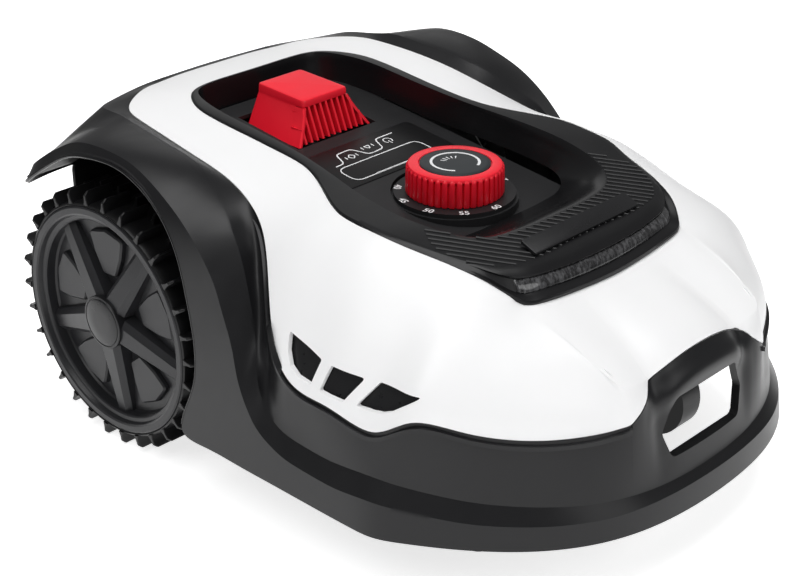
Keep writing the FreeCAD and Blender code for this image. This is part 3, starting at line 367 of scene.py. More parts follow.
class Shape:
    """Collects the faces of one piece, in millimetres from the drive axle."""

    def __init__(self):
        self.points, self.faces, self.paint = [], [], []

    def add(self, points, faces, paint=0):
        start = len(self.points)
        self.points += [tuple(p) for p in np.asarray(points, float)]
        self.faces += [tuple(start + i for i in face) for face in faces]
        self.paint += [paint] * len(faces)
        return self

    def grid(self, points, paint=0, around=False, flip=False):
        """Faces between the rows of a (rows, columns, 3) array; around joins the last row to the first."""
        rows, columns = points.shape[:2]
        faces = []
        for i in range(rows if around else rows - 1):
            for j in range(columns - 1):
                a, b = i * columns + j, ((i + 1) % rows) * columns + j
                faces.append((a, a + 1, b + 1, b) if flip else (a, b, b + 1, a + 1))
        return self.add(points.reshape(-1, 3), faces, paint)

    def loops(self, rings, paint=0, cap=True, open_end=False):
        """Closed outlines joined one to the next, with the ends filled."""
        count = len(rings[0])
        points = np.concatenate([np.asarray(r, float) for r in rings])
        faces = []
        for r in range(len(rings) - 1):
            for j in range(count):
                k = (j + 1) % count
                faces.append((r * count + j, r * count + k, (r + 1) * count + k, (r + 1) * count + j))
        if cap:
            faces.append(tuple(range(count))[::-1])
            if not open_end:
                faces.append(tuple(range((len(rings) - 1) * count, len(rings) * count)))
        return self.add(points, faces, paint)

    def prism(self, outline, low, high, place=None, bevel=0.0, paint=0, steps=2):
        """A block over a flat outline, with rounded top edges; place maps (u, v, w) to the machine."""
        outline = np.asarray(outline, float)
        rings = [(outline, low)]
        for k in range(steps + 1 if bevel else 0):
            angle = math.pi / 2 * k / steps
            rings.append((inset(outline, bevel * (1 - math.cos(angle))),
                          high - bevel * (1 - math.sin(angle))))
        if not bevel:
            rings.append((outline, high))
        made = [np.column_stack([o, np.full(len(o), w)]) for o, w in rings]
        if place is not None:
            made = [carried(m, place) for m in made]
        return self.loops(made, paint)

    def turned(self, profile, steps=96, place=None, paint=0, closed=False):
        """A profile of (radius, height) pairs turned round the upright axis."""
        angles = np.linspace(0, 2 * math.pi, steps, endpoint=False)
        r, z = np.asarray(profile, float).T
        points = np.stack([np.outer(np.cos(angles), r), np.outer(np.sin(angles), r),
                           np.tile(z, (steps, 1))], axis=-1)
        if closed:
            points = np.concatenate([points, points[:, :1]], axis=1)
        if place is not None:
            points = carried(points.reshape(-1, 3), place).reshape(points.shape)
        return self.grid(points, paint, around=True)


def carried(points, place):
    return np.asarray(points, float) @ np.array(place)[:3, :3].T + np.array(place)[:3, 3]


def seat(origin, u=(1, 0, 0), v=(0, 1, 0)):
    """A placing matrix from an origin and two directions."""
    u, v = Vector(u).normalized(), Vector(v).normalized()
    made = Matrix((u, v, u.cross(v))).transposed().to_4x4()
    made.translation = Vector(origin)
    return made


def inset(outline, distance):
    """Moves a flat closed outline inwards; it runs anticlockwise."""
    if not distance:
        return outline
    before, after = np.roll(outline, 1, axis=0), np.roll(outline, -1, axis=0)
    d1, d2 = outline - before, after - outline
    d1 /= np.linalg.norm(d1, axis=1)[:, None] + 1e-12
    d2 /= np.linalg.norm(d2, axis=1)[:, None] + 1e-12
    n = np.column_stack([-(d1 + d2)[:, 1], (d1 + d2)[:, 0]])
    n /= np.linalg.norm(n, axis=1)[:, None] + 1e-12
    lean = np.clip(np.abs(-d1[:, 1] * n[:, 0] + d1[:, 0] * n[:, 1]), 0.35, 1)
    return outline + n * (distance / lean)[:, None]


def rounded(corners, radius, steps=5):
    """A flat closed outline with its corners rounded, anticlockwise."""
    corners = np.asarray(corners, float)
    area = np.sum(corners[:, 0] * np.roll(corners[:, 1], -1) - np.roll(corners[:, 0], -1) * corners[:, 1])
    if area < 0:
        corners = corners[::-1]
    made = []
    for i, here in enumerate(corners):
        a, b = corners[i - 1] - here, corners[(i + 1) % len(corners)] - here
        la, lb = np.linalg.norm(a), np.linalg.norm(b)
        a, b = a / la, b / lb
        half = math.acos(max(-1, min(1, float(a @ b)))) / 2
        reach = min(radius / math.tan(half), 0.48 * la, 0.48 * lb)
        for k in range(steps + 1):
            t = k / steps
            made.append(here + a * reach * (1 - t) ** 2 + b * reach * t ** 2)
    return np.array(made)


def build(name, shape, paints, sharp=32, merge=0.002, outward=True):
    """Makes the mesh object, merges its seams and sets its shading."""
    mesh = bpy.data.meshes.new(name)
    points = (np.array(shape.points) + (AXLE_X, 0, 0)) / 1000
    mesh.from_pydata(points.tolist(), [], shape.faces)
    for paint in paints:
        mesh.materials.append(FINISHES[paint])
    mesh.polygons.foreach_set("material_index", np.array(shape.paint, np.int32))
    edit = bmesh.new()
    edit.from_mesh(mesh)
    bmesh.ops.remove_doubles(edit, verts=edit.verts, dist=merge / 1000)
    bmesh.ops.dissolve_degenerate(edit, edges=edit.edges, dist=1e-7)
    if outward:
        bmesh.ops.recalc_face_normals(edit, faces=edit.faces)
    edit.to_mesh(mesh)
    edit.free()
    obj = bpy.data.objects.new(name, mesh)
    bpy.context.scene.collection.objects.link(obj)
    shade(obj, sharp)
    return obj


def shade(obj, sharp=32):
    obj.data.shade_smooth()
    obj.data.set_sharp_from_angle(angle=math.radians(sharp))
    return obj


def thicken(obj, wall):
    modifier = obj.modifiers.new("Wall", "SOLIDIFY")
    modifier.thickness, modifier.offset = wall / 1000, -1
    return settle(obj)


def carve(obj, cutters):
    """Cuts closed shapes out of a piece, then throws them away."""
    for cutter in cutters:
        modifier = obj.modifiers.new("Carve", "BOOLEAN")
        modifier.operation, modifier.object, modifier.solver = "DIFFERENCE", cutter, "EXACT"
    settle(obj)
    for cutter in cutters:
        bpy.data.objects.remove(cutter)
    return obj


def finish_piece(obj, body, slot, *nodes):
    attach(obj, body)
    if nodes:
        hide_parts(*nodes)
    return obj


def both(shape):
    """Adds the mirror image of everything in the shape."""
    points = np.array(shape.points) * MIRROR_Y
    faces, paint = [f[::-1] for f in shape.faces], list(shape.paint)
    start = len(shape.points)
    shape.points += [tuple(p) for p in points]
    shape.faces += [tuple(start + i for i in f) for f in faces]
    shape.paint += paint
    return shape


# ---------------------------------------------------------------- white cover
# Each row: point at the control ring, point at the cover's edge, fall at the ring and at the edge in degrees,
# and how far each holds its direction.
COVER = [
    ((-45, 0, 234.5), (-88, 0, 230), 3, 9, 12, 14),
    ((-45, 30, 234.3), (-87.5, 40, 229.8), 3, 9, 12, 14),
    ((-42, 56, 234), (-84, 65, 229.9), 3, 9, 12, 14),
    ((-35, 70, 233.8), (-75, 86.5, 231.9), 3, 7, 12, 14),
    ((-24.5, 79, 233.3), (-52, 117, 232.3), 2, 4, 12, 14),
    ((-10, 85, 232.6), (-30, 126, 231.2), 2, 4, 12, 14),
    ((12, 87.5, 230.8), (0, 130, 229), 2, 4, 12, 14),
    ((44, 88, 227.5), (38, 133, 224.5), 3, 7, 12, 14),
    ((84, 88, 223.6), (76, 134.3, 217.7), 4, 14, 13, 14),
    ((108, 90.4, 221.6), (103, 139, 210), 6, 26, 15, 16),
    ((131, 99, 218.3), (128, 149, 199), 8, 42, 17, 18),
    ((164, 116.5, 214.6), (156, 170, 174), 10, 60, 22, 26),
    ((190, 120.5, 212), (184, 189, 136), 12, 73, 29, 40),
    ((210, 120.2, 210.6), (207, 192, 123), 12, 74, 32, 46),
    ((232, 114.5, 206), (235, 192, 121.5), 12, 74, 36, 46),
    ((257, 107.5, 201.5), (268, 187.5, 116), 13, 73, 38, 42),
    ((283, 98, 193.6), (296, 180, 131), 14, 78, 38, 32),
    ((297, 90, 184.9), (323, 158, 124.5), 15, 88, 37, 29),
    ((302.8, 84.8, 179.6), (354, 127, 119), 16, 91, 34, 26),
    ((333, 84, 168.5), (374, 92, 117), 18, 88, 26, 19),
    ((356, 82.6, 157.6), (381, 81.5, 119), 23, 84, 15, 16),
    ((370, 80.6, 150.2), (384.2, 75.6, 120.2), 34, 83, 9, 13),
    ((376.2, 77, 146.2), (385, 72.4, 122), 44, 82, 5.5, 11),
    ((378.6, 72, 144.4), (385.3, 69, 124.2), 50, 82, 4, 9),
    ((379.3, 67, 143.4), (385.3, 64.5, 127.6), 55, 82, 3, 6.5),
    ((379.3, 61, 142.2), (384.2, 59.5, 131.6), 55, 80, 2.2, 4),
    ((378.6, 55, 140.8), (382.2, 56, 135.2), 55, 75, 1.2, 2),
    ((377.6, 50, 139.6), (379.2, 52, 137.6), 50, 60, 0.5, 0.8),
]
COVER_STATIONS, COVER_ROWS, RING_CORNER = 240, 30, 18
FOLD_END = (376.2, 77, 146.2)
FRONT_CROWN = 2.5
NOTCH = [(381, 0, 149), (381, 14, 148.6), (380.6, 25.5, 147), (379.6, 34.5, 144.6), (378, 41, 141.9),
         (377.2, 46, 140.2)]
NOTCH_SIDE = [(377.2, 46, 140.2), (377.6, 49, 138.6), (379.2, 52, 137.6), (382.2, 56, 135.2), (384.2, 59.5,
                                                                                               131.6),
              (385.3, 64.5, 127.6), (385.2, 69.5, 123.8), (384.4, 74.4, 121)]
RING_FRONT = [(312.5, 0, 175), (311.8, 25, 175.7), (310.3, 47.3, 176.4), (308.6, 71.5, 178.4),
              (306, 80, 179), (302.8, 84.8, 179.6)]


def cover_sections():
    table = [[r, e, (fall_r, 0, reach_r), (fall_e, 0, reach_e)] for r, e, fall_r, fall_e, reach_r,
             reach_e in COVER]
    dense = half_spline(table, COVER_STATIONS, start=True, end=False)
    return dense


def cover_side(dense):
    ring, edge = dense[:, 0], dense[:, 1]
    fall_r, reach_r = np.radians(dense[:, 2, 0]), dense[:, 2, 2]
    fall_e, reach_e = np.radians(dense[:, 3, 0]), dense[:, 3, 2]
    out = (edge - ring) * (1, 1, 0)
    out /= np.linalg.norm(out, axis=1)[:, None]
    down = np.array([0, 0, -1.0])
    h1 = ring + (out * np.cos(fall_r)[:, None] + down * np.sin(fall_r)[:, None]) * reach_r[:, None]
    h2 = edge - (out * np.cos(fall_e)[:, None] + down * np.sin(fall_e)[:, None]) * reach_e[:, None]
    t = np.linspace(0, 1, COVER_ROWS)[None, :, None]
    return ((1 - t) ** 3 * ring[:,
                                None] + 3 * t * (1 - t) ** 2 * h1[:,
                                                                  None] + 3 * t ** 2 * (1 - t) * h2[:, None]
            + t ** 3 * edge[:, None])


def cover_front(side, corner):
    """The panel between the ring's front, the fold and the notch over the handle."""
    edge = side[corner:, 0]
    turn = int(np.argmin(np.linalg.norm(edge - np.array(FOLD_END), axis=1)))
    fold = edge[:turn + 1]
    length = np.concatenate([[0], np.cumsum(np.linalg.norm(np.diff(fold, axis=0), axis=1))])
    v = length / length[-1]
    tail = edge[turn:]
    u = np.linspace(0, 1, 44)
    inner = spline(RING_FRONT, u)
    outer = np.concatenate([spline(NOTCH, np.linspace(0, 1, len(u) - len(tail) + 1))[:-1], tail[::-1]])
    if len(outer) != len(u):
        inner = spline(RING_FRONT, np.linspace(0, 1, len(outer)))
        u = np.linspace(0, 1, len(outer))
    inner[-1], outer[-1] = fold[0], fold[-1]
    bulge = fold - (fold[0] + (fold[-1] - fold[0]) * v[:, None])
    panel = []
    for k, share in enumerate(u):
        row = inner[k] + (outer[k] - inner[k]) * v[:, None]
        weight = share ** 2
        row += bulge * weight
        row[:, 2] += 4 * v * (1 - v) * FRONT_CROWN * (1 - weight)
        row[:, 2] += 1.6 * np.sin(np.pi * v ** 3) * (1 - weight)
        panel.append(row)
    panel[-1] = fold
    return np.array(panel)


def corner_station(dense):
    target = np.array(COVER[RING_CORNER][0])
    return int(np.argmin(np.linalg.norm(dense[:, 0] - target, axis=1)))


VENTS = [[(187.4, 156), (219.2, 147.4), (215, 130), (202.6, 131.4), (195.4, 135.8), (190.5, 144)],
         [(228, 146.6), (253.3, 144.8), (242.8, 127.8), (223.4, 129.1)],
         [(263.7, 145.1), (296.5, 146), (294, 143.4), (278, 131.7), (271, 128.6), (264, 127.5),
          (252, 127.7)]]


def vent_cutter(outline, side, grow=0.0, low=120, high=215):
    outline = inset(rounded(outline, 1.6), -grow)
    points = [np.column_stack([outline[:, 0], np.full(len(outline), side * y),
                               outline[:, 1]]) for y in (low, high)]
    return build("Cutter", Shape().loops(points), ["black_shell"])


class MOWER_OT_white_cover(Operator):
    """Builds the white top cover with its vents, fold and handle notch"""
    bl_idname = "mower.white_cover"
    bl_label = "White cover"

    def execute(self, context):
        sizes = context.scene.mower
        dense = cover_sections()
        side = cover_side(dense)
        shape = Shape()
        shape.grid(side)
        shape.grid(cover_front(side, corner_station(dense)))
        both(shape)
        cover = build("WhiteCover", shape, ["white_shell"], sharp=50, merge=0.02)
        point_up(cover)
        thicken(cover, sizes.cover_wall)
        carve(cover, [vent_cutter(v, s) for v in VENTS for s in (1, -1)])
        shade(cover, 40)
        finish_piece(cover, "cover", "white_shell", "top_cover")
        meshes = Shape()
        for vent in VENTS:
            grown = inset(rounded(vent, 2), -3)
            for s in (1, -1):
                ring = np.column_stack([grown[:, 0], flank_y(side, grown) * s, grown[:, 1]])
                back = ring - np.array([0, 2.0 * s, 0])
                meshes.loops([ring, back])
        screens = build("VentScreens", meshes, ["plate"])
        finish_piece(screens, "cover", "chassis_plastic", "vent_inserts")
        return {"FINISHED"}


def flank_y(side, places):
    """Half width just under the cover's flank at each (x, z)."""
    flat = side[60:].reshape(-1, 3)
    made = []
    for x, z in places:
        near = np.argsort((flat[:, 0] - x) ** 2 + (flat[:, 2] - z) ** 2)[:4]
        made.append(flat[near, 1].mean())
    return np.array(made) - 4.2


def point_up(obj):
    """Turns an open skin so that most of its faces look up and outwards."""
    centre = Vector(((120 + AXLE_X) / 1000, 0, 0.08))
    total = sum((p.normal.dot(p.center - centre) * p.area) for p in obj.data.polygons)
    if total < 0:
        obj.data.flip_normals()


# ---------------------------------------------------------------- black shell
# Four lines run round the shell from the tail to the nose: the edge beside the white cover, the strip's outer line
# that becomes the valley and the upper step, the fender's crease that becomes the lower step, and the arch lip
# that becomes the hem.
SHELL = [
    ((-89, 0, 229.3), (-97, 0, 228.2), (-104, 0, 214), (-104.8, 0, 178)),
    ((-88.5, 40, 229.1), (-96.5, 42, 227.8), (-104, 46, 213), (-104.8, 48, 178)),
    ((-85.2, 65.5, 229.2), (-94.5, 72, 227.3), (-103.5, 84, 210), (-104.8, 88, 178)),
    ((-76.2, 87.5, 231), (-89, 99, 226.5), (-103, 116, 204), (-104.8, 121, 178)),
    ((-66, 106, 231.6), (-80, 119, 227.8), (-102, 146, 197), (-104.5, 153, 178)),
    ((-53, 118.2, 231.6), (-66, 129, 230.8), (-97, 171, 190), (-101, 177, 178)),
    ((-37.6, 125.8, 230.8), (-47, 133, 233), (-86, 182, 196.5), (-93, 184.5, 182.5)),
    ((-16, 129.9, 229.6), (-24.6, 139, 235.2), (-46, 183.2, 221.5), (-49, 187, 211)),
    ((12, 132, 227), (2.4, 141.8, 233.3), (-12, 184.2, 232.8), (-14, 188.5, 223.5)),
    ((38, 134, 222.8), (27.7, 143.4, 231), (24.7, 183.4, 232), (20, 188.5, 226)),
    ((57, 134, 220.6), (51.6, 144.8, 228), (47.4, 183.8, 226.4), (41, 188.5, 221.2)),
    ((76, 135.3, 217), (72.4, 149, 222), (71, 186, 217), (60, 189.5, 212.4)),
    ((91, 137.2, 213.5), (94.5, 156, 211), (92.7, 187.4, 203.5), (78, 190, 195)),
    ((104, 140.2, 209.3), (111, 162.5, 201), (108.2, 188.5, 189.5), (89.5, 191, 174)),
    ((117, 144.5, 203.2), (125, 167, 186), (122.5, 189.5, 172), (96.5, 192, 151)),
    ((129, 150.2, 198.2), (135, 171, 170), (132.5, 191, 152), (103, 193.5, 126)),
    ((146, 162.2, 182.2), (144, 175, 152), (143.5, 194, 133), (105.5, 195.5, 101)),
    ((157, 171.2, 172.8), (153, 181, 134), (152, 197.5, 113.5), (101.5, 198.5, 79)),
    ((166, 178.2, 163.8), (164.5, 190.5, 114), (162, 199, 95), (94, 200.8, 50)),
    ((174.5, 184.2, 154.2), (171.5, 191.8, 99), (171.5, 199.2, 83), (120, 201, 47)),
    ((185, 190.2, 135.2), (181, 192, 89.5), (185.6, 199.4, 75.3), (152, 201, 47)),
    ((194, 192.2, 127.2), (193.4, 192, 84.3), (200, 199.5, 71.2), (180, 201, 47)),
    ((208, 193.2, 122.2), (215, 192, 82.3), (222, 199.6, 69.8), (208, 201, 47)),
    ((231, 193.2, 121.2), (236.6, 192, 82.3), (245, 199.7, 69.8), (236, 201, 47)),
    ((261.5, 189.2, 114.8), (262, 191.3, 84.8), (266, 198.9, 71.8), (262, 200.7, 47)),
    ((280, 188, 118.8), (278.5, 188.7, 85), (281, 196, 71.8), (279.5, 198.6, 47)),
]
NOSE_CURVE = (406.9, -47.77, -94.9, 14.66)
FRONT = [  # half width of the hem, then the cover's edge
    (190, (297, 181.2, 130.2)), (178, (311.5, 170.5,
                                       126.8)), (165, (324, 159.5, 123.8)), (149, (340, 145, 120.8)),
    (131, (355, 128.2, 118.4)), (112, (366.5, 110.5, 116.8)), (94, (375.5, 92.5, 116.6)), (77, (385.2, 75.2,
                                                                                                120.2)),
]
FRONT_MIDDLE = [64, 50, 34, 17, 0]
STEP_HIGH = [(281, 85), (301, 81.5), (324, 77.5), (361, 73.7), (387, 70), (398, 67.5)]
STEP_LOW = [(283, 71.6), (305, 69), (327, 65.6), (360, 64), (392, 62.8), (405, 64.4)]
BAND_ROWS = (16, 9, 9)
SHELL_STATIONS = 300


def nose_point(y, inwards=0.0):
    """A point of the hem's front curve in plan, moved inwards square to it."""
    t = y / 200
    a, b, c, d = NOSE_CURVE
    x = a + b * t ** 2 + c * t ** 4 + d * t ** 6
    slope = (2 * b * t + 4 * c * t ** 3 + 6 * d * t ** 5) / 200
    normal = np.array([1, -slope]) / math.hypot(1, slope)
    return np.array([x, y]) - normal * inwards


def step_point(y, inwards, heights):
    x, y = nose_point(y, inwards)
    return x, y, float(np.interp(x, [p[0] for p in heights], [p[1] for p in heights]))


def front_rows():
    rows = []
    for y, edge in FRONT:
        rows.append((edge, step_point(y, 9, STEP_HIGH), step_point(y, 2, STEP_LOW), (*nose_point(y), 47)))
    for y in FRONT_MIDDLE:
        high = step_point(y, 9, STEP_HIGH)
        rows.append(((high[0] - 9, high[1], 120), high, step_point(y, 2, STEP_LOW), (*nose_point(y), 47)))
    return rows


def band(first, last, rows, sag):
    """A strip of surface between two lines; sag is how far each station's middle is pushed, as vectors."""
    t = np.linspace(0, 1, rows)[None, :, None]
    return first[:, None] * (1 - t) + last[:, None] * t + 4 * t * (1 - t) * sag[:, None]


NOSE_BULGE = [(0, 0), (2, 2.4), (5, 4.8), (9, 6.8), (13, 7.4), (17, 6.6), (21, 4.8), (25, 3.2), (32, 2),
              (44, 0.9), (60, 0.2), (82, 0)]
HANDLE = [(-37.8, 83), (-45, 102), (-33, 125), (33, 125), (45, 102), (37.8, 83)]


def nose_panel(low_line, count_up=46):
    """The black face under the notch, swelling into the visor over the handle."""
    line = np.array(NOTCH[:-1] + NOTCH_SIDE)
    dense = spline(line, np.linspace(0, 1, 400))
    along = np.concatenate([[0], np.cumsum(np.abs(np.diff(dense[:, 1])))])
    wanted = np.abs(low_line[:, 1]) / np.abs(low_line[-1, 1]) * along[-1]
    top = np.column_stack([np.interp(wanted, along, dense[:, k]) for k in range(3)])
    top = top + np.array([0.5, 0, -0.7])
    panel = []
    for low, high in zip(low_line, top):
        r = np.linspace(0, 1, count_up) ** 0.92
        line = low + (high - low) * r[:, None]
        below = high[2] - line[:, 2]
        fade = 1 - smooth_step((abs(high[1]) - 38) / 24)
        swell = np.interp(below, [p[0] for p in NOSE_BULGE], [p[1] for p in NOSE_BULGE])
        swell = np.convolve(np.pad(swell, 2, "edge"), [0.1, 0.2, 0.4, 0.2, 0.1], "valid")
        line[:, 0] += swell * fade * (1 - r ** 30)
        panel.append(line)
    panel = np.array(panel)
    panel[:, -1] = top
    panel[:, 0] = low_line
    return panel


class MOWER_OT_black_shell(Operator):
    """Builds the black body shell with its fenders, bumper steps, visor and carry handle"""
    bl_idname = "mower.black_shell"
    bl_label = "Black shell"

    def execute(self, context):
        sizes = context.scene.mower
        table = [list(r) for r in SHELL] + [list(r) for r in front_rows()]
        dense = half_spline(table, SHELL_STATIONS)
        lines = [dense[:, k] for k in range(4)]
        x, y = lines[0][:, 0], lines[0][:, 1]
        side_edge = int(np.argmin(np.abs(y - 75.2) + 1000 * (x < 300)))
        edge = cover_side(cover_sections())[:, -1]
        for i in range(side_edge + 1):
            near = int(np.argmin(np.linalg.norm(edge - lines[0][i], axis=1)))
            ahead = edge[min(near + 1, len(edge) - 1)] - edge[max(near - 1, 0)]
            away = np.array([-ahead[1], ahead[0], 0])
            away /= np.linalg.norm(away) + 1e-9
            away *= np.clip((away @ (lines[1][i] - lines[0][i]) - 4) / 3, -1, 1)
            lines[0][i] = edge[near] + away * sizes.seam + np.array([0, 0, -0.3])
        for _ in range(3):
            lines[0][1:side_edge] = (lines[0][:side_edge - 1] + lines[0][1:side_edge] * 2
                                     + lines[0][2:side_edge + 1]) / 4
        up, out = np.array([0, 0, 1.0]), np.array([0, 1.0, 0])
        strip_sag = smooth_step((x - 95) / 40) * (1 - smooth_step((x - 165) / 30))
        sag0 = -np.outer(strip_sag, [3.0, 5.0, 3.0])
        crown = (1 - smooth_step((x - 70) / 50)) * smooth_step((y - 100) / 30)
        sag1 = np.outer(crown, up * 2.2 + out * 0.6)
        sag2 = np.zeros_like(sag1)
        shape = Shape()
        lip = lines[0][:side_edge + 1] - np.array([0, 0, 6.0])
        shape.grid(band(lip, lines[0][:side_edge + 1], 3, np.zeros((side_edge + 1, 3))), flip=False)
        shape.grid(band(lines[0][:side_edge + 1], lines[1][:side_edge + 1], BAND_ROWS[0],
                        sag0[:side_edge + 1]))
        shape.grid(band(lines[1], lines[2], BAND_ROWS[1], sag1))
        shape.grid(band(lines[2], lines[3], BAND_ROWS[2], sag2))
        low_line = lines[1][side_edge:][::-1]
        panel = nose_panel(low_line)
        first = band(lines[0], lines[1], BAND_ROWS[0], sag0)[side_edge]
        order = np.linspace(1, 0, panel.shape[1])
        heights = np.concatenate([[0], np.cumsum(np.linalg.norm(np.diff(first, axis=0), axis=1))])
        heights /= heights[-1]
        panel[-1] = np.column_stack([np.interp(order, heights, first[:, k]) for k in range(3)])
        shape.grid(panel[::-1, ::-1])
        both(shape)
        shell = build("BlackShell", shape, ["black_shell"], sharp=24, merge=0.02)
        point_up(shell)
        thicken(shell, sizes.shell_wall)
        handle = rounded(HANDLE, 6)
        points = [np.column_stack([np.full(len(handle), d), handle[:, 0],
                                   handle[:, 1]]) for d in (360, 430)]
        carve(shell, [build("Cutter", Shape().loops(points), ["black_shell"])])
        shade(shell, 24)
        finish_piece(shell, "cover", "black_shell", "body_shell")
        flange = Shape()
        outline = inset(handle, -0.2)
        inner = inset(handle, -1.5)
        rings = []
        for ring, depth in ((outline, 0.0), (outline, 6.0), (inner, 6.0), (inner, 0.8)):
            face = np.array([nose_face(panel, p) for p in ring])
            rings.append(np.column_stack([face - depth - 0.4, ring]))
        flange.loops(rings + [rings[0]], cap=False)
        tube = build("HandleFlange", flange, ["black_shell"])
        finish_piece(tube, "cover", "black_shell")
        bead = Shape()
        lip = lines[3][int(np.argmin(np.abs(x + 60))):int(np.argmin(np.abs(lines[3][:,
                                                                                    2] - 52) + 1000 * (x < 100)))]
        spin = np.linspace(0, 2 * math.pi, 10, endpoint=False)
        rings = []
        for at, ahead in zip(lip, np.gradient(lip, axis=0)):
            ahead = ahead / np.linalg.norm(ahead)
            across = np.cross(ahead, (0, 1, 0))
            across /= np.linalg.norm(across)
            outward = np.cross(across, ahead)
            rings.append(at - np.array([0, 1.0, 0]) + sizes.bead * (np.outer(np.cos(spin), across)
                                                                   + np.outer(np.sin(spin), outward)))
        bead.loops(rings)
        both(bead)
        roll = build("ArchBeads", bead, ["ring_slope"], sharp=60)
        finish_piece(roll, "cover", "black_shell")
        liner = Shape()
        arch = slice(int(np.argmin(np.abs(x + 37))),
                     int(np.argmin(np.abs(lines[3][:, 2] - 60) + 1000 * (x < 100))))
        lipline = lines[3][arch] + np.array([0, -1.0, 0])
        middle = np.array([0, 0, AXLE_Z])
        away = (lipline - middle) * (1, 0, 1)
        away /= np.linalg.norm(away, axis=1)[:, None]
        back = lipline + away * 1.5
        back[:, 1] = 142
        liner.grid(band(lipline + away * 1.2, back, 6, np.zeros_like(back)))
        both(liner)
        well = build("ArchLiners", liner, ["chassis_plastic"], outward=False)
        thicken(well, 1.5)
        finish_piece(well, "cover", "black_shell")
        tail = Shape()
        tail.prism(rounded([(-136, 100), (136, 100), (136, 180), (-136, 180)], 8), 0, 3,
                   seat((-105, 0, 0), (0, 1, 0), (0, 0, 1)), bevel=1)
        for k in range(7):
            half, low = 110 - k * 3, 112 + k * 8
            tail.prism(rounded([(-half, low), (half, low), (half, low + 3), (-half, low + 3)], 1.2), 0, 1.2,
                       seat((-102.2, 0, 0), (0, 1, 0), (0, 0, 1)))
        panel_back = build("TailPanel", tail, ["black_shell"])
        finish_piece(panel_back, "cover", "black_shell")
        grip = Shape()
        grip.prism(rounded([(-94.5, -62.5), (-86.5, -62.5), (-86.5, 62.5), (-94.5, 62.5)], 3), 224, 228.6,
                   bevel=1.2)
        for k in range(28):
            y_k = -56 + k * 112 / 27
            grip.prism([(-93, y_k - 0.8), (-88, y_k - 0.8), (-88, y_k + 0.8), (-93, y_k + 0.8)], 228, 229)
        strip = build("RearGripStrip", grip, ["plate"])
        finish_piece(strip, "cover", "chassis_plastic", "rear_strip")
        return {"FINISHED"}


def nose_face(panel, place):
    """x of the nose's face at (y, z)."""
    flat = panel.reshape(-1, 3)
    near = np.argsort((flat[:, 1] - abs(place[0])) ** 2 + (flat[:, 2] - place[1]) ** 2)[:5]
    return flat[near, 0].mean()


# ---------------------------------------------------------------- control ring
# Each row: outer edge at the cover, outer edge of the flat top, inner rim, foot of the inner slope.
RING = [
    ((-45, 0, 234.2), (-44, 0, 235.6), (-42, 0, 235.8), (-38, 0, 212)),
    ((-45, 43, 234.2), (-44, 42.3, 235.6), (-42, 42, 235.8), (-38, 41, 212)),
    ((-39.5, 66, 233.9), (-38.7, 65.2, 235.2), (-37, 62, 235.4), (-33, 59, 212)),
    ((-24.5, 79, 233.3), (-24, 78, 234.6), (-24, 71, 234.8), (-22, 68, 211)),
    ((-2, 87, 232), (-2, 86, 233.2), (0, 77, 233.6), (0, 74, 210)),
    ((44, 88, 227.5), (44, 87, 229), (44, 78.5, 229.4), (44, 75.5, 206)),
    ((84, 88, 223.6), (84, 87, 225), (84, 79.5, 225.4), (84, 77, 202)),
    ((108, 90.4, 221.6), (108, 89.4, 222.6), (110, 82, 222.6), (110, 79, 200)),
    ((131, 99, 218.3), (131, 98, 220), (135, 86, 219.9), (135, 82, 197)),
    ((164, 116.5, 214.6), (164, 115.2, 216.4), (160, 90, 217), (158, 84, 194.5)),
    ((182, 120.3, 212.2), (182, 119, 214.6), (180, 91.5, 214.8), (176, 84, 192.5)),
    ((210, 120.2, 210.6), (208, 117.5, 212), (200, 91, 212.2), (190, 83, 191)),
    ((232, 114.5, 206), (230, 111.4, 208.4), (218, 87.5, 210), (201, 78, 189.5)),
    ((257, 107.5, 201.5), (253, 103.4, 204.7), (236, 80.5, 207), (209, 70, 188)),
    ((283, 98, 193.6), (275, 92, 201), (249, 69.5, 204.8), (213.5, 60, 187.3)),
    ((302.8, 84.8, 179.6), (286, 80, 199), (255, 59, 203.8), (215.3, 52, 187.1)),
    ((308.6, 71.5, 178.4), (291.5, 68, 198.2), (257.5, 50, 203.5), (216, 44, 187)),
    ((310.3, 47.3, 176.4), (295.5, 45, 197.2), (259.5, 32, 203.2), (217, 27, 186.8)),
    ((312, 22, 175.4), (297.5, 22, 197), (260, 14, 203.1), (217, 12, 186.8)),
    ((312.5, 0, 175), (298, 0, 197), (260, 0, 203.1), (217, 0, 186.8)),
]
RING_COUNT = 220
PANEL_EDGE = [(215, 86), (220, 90), (237, 101.5), (251, 103), (268, 97), (280, 86), (286, 77), (289, 60),
              (290.5, 45), (288.6, 18), (289, 0)]
LENS_ENDS = (83.2, 190.7, 182.4)
# Front wall from the cover edge up to the flat top: share of the way, bump outwards.
FRONT_WALL = [(0.0, 0.0), (0.10, 2.4), (0.18, 3.4), (0.23, 2.2), (0.26, -0.6), (0.30, -1.6), (0.70, -0.2),
              (0.73, 1.4), (0.78, 2.4), (0.86, 2.2), (0.94, 1.1), (1.0, 0.0)]


def ring_sections():
    return half_spline(RING, RING_COUNT)


def top_height(sections, x, y):
    """Height of the flat ring top at places between its outer edge and its inner rim."""
    flat = band(sections[:, 1], sections[:, 2], 25, np.zeros_like(sections[:, 1])).reshape(-1, 3)
    made = []
    for px, py in zip(x, y):
        d = (flat[:, 0] - px) ** 2 + (flat[:, 1] - abs(py)) ** 2
        near = np.argpartition(d, 4)[:4]
        w = 1 / (d[near] + 0.5)
        made.append((flat[near, 2] * w).sum() / w.sum())
    return np.array(made)


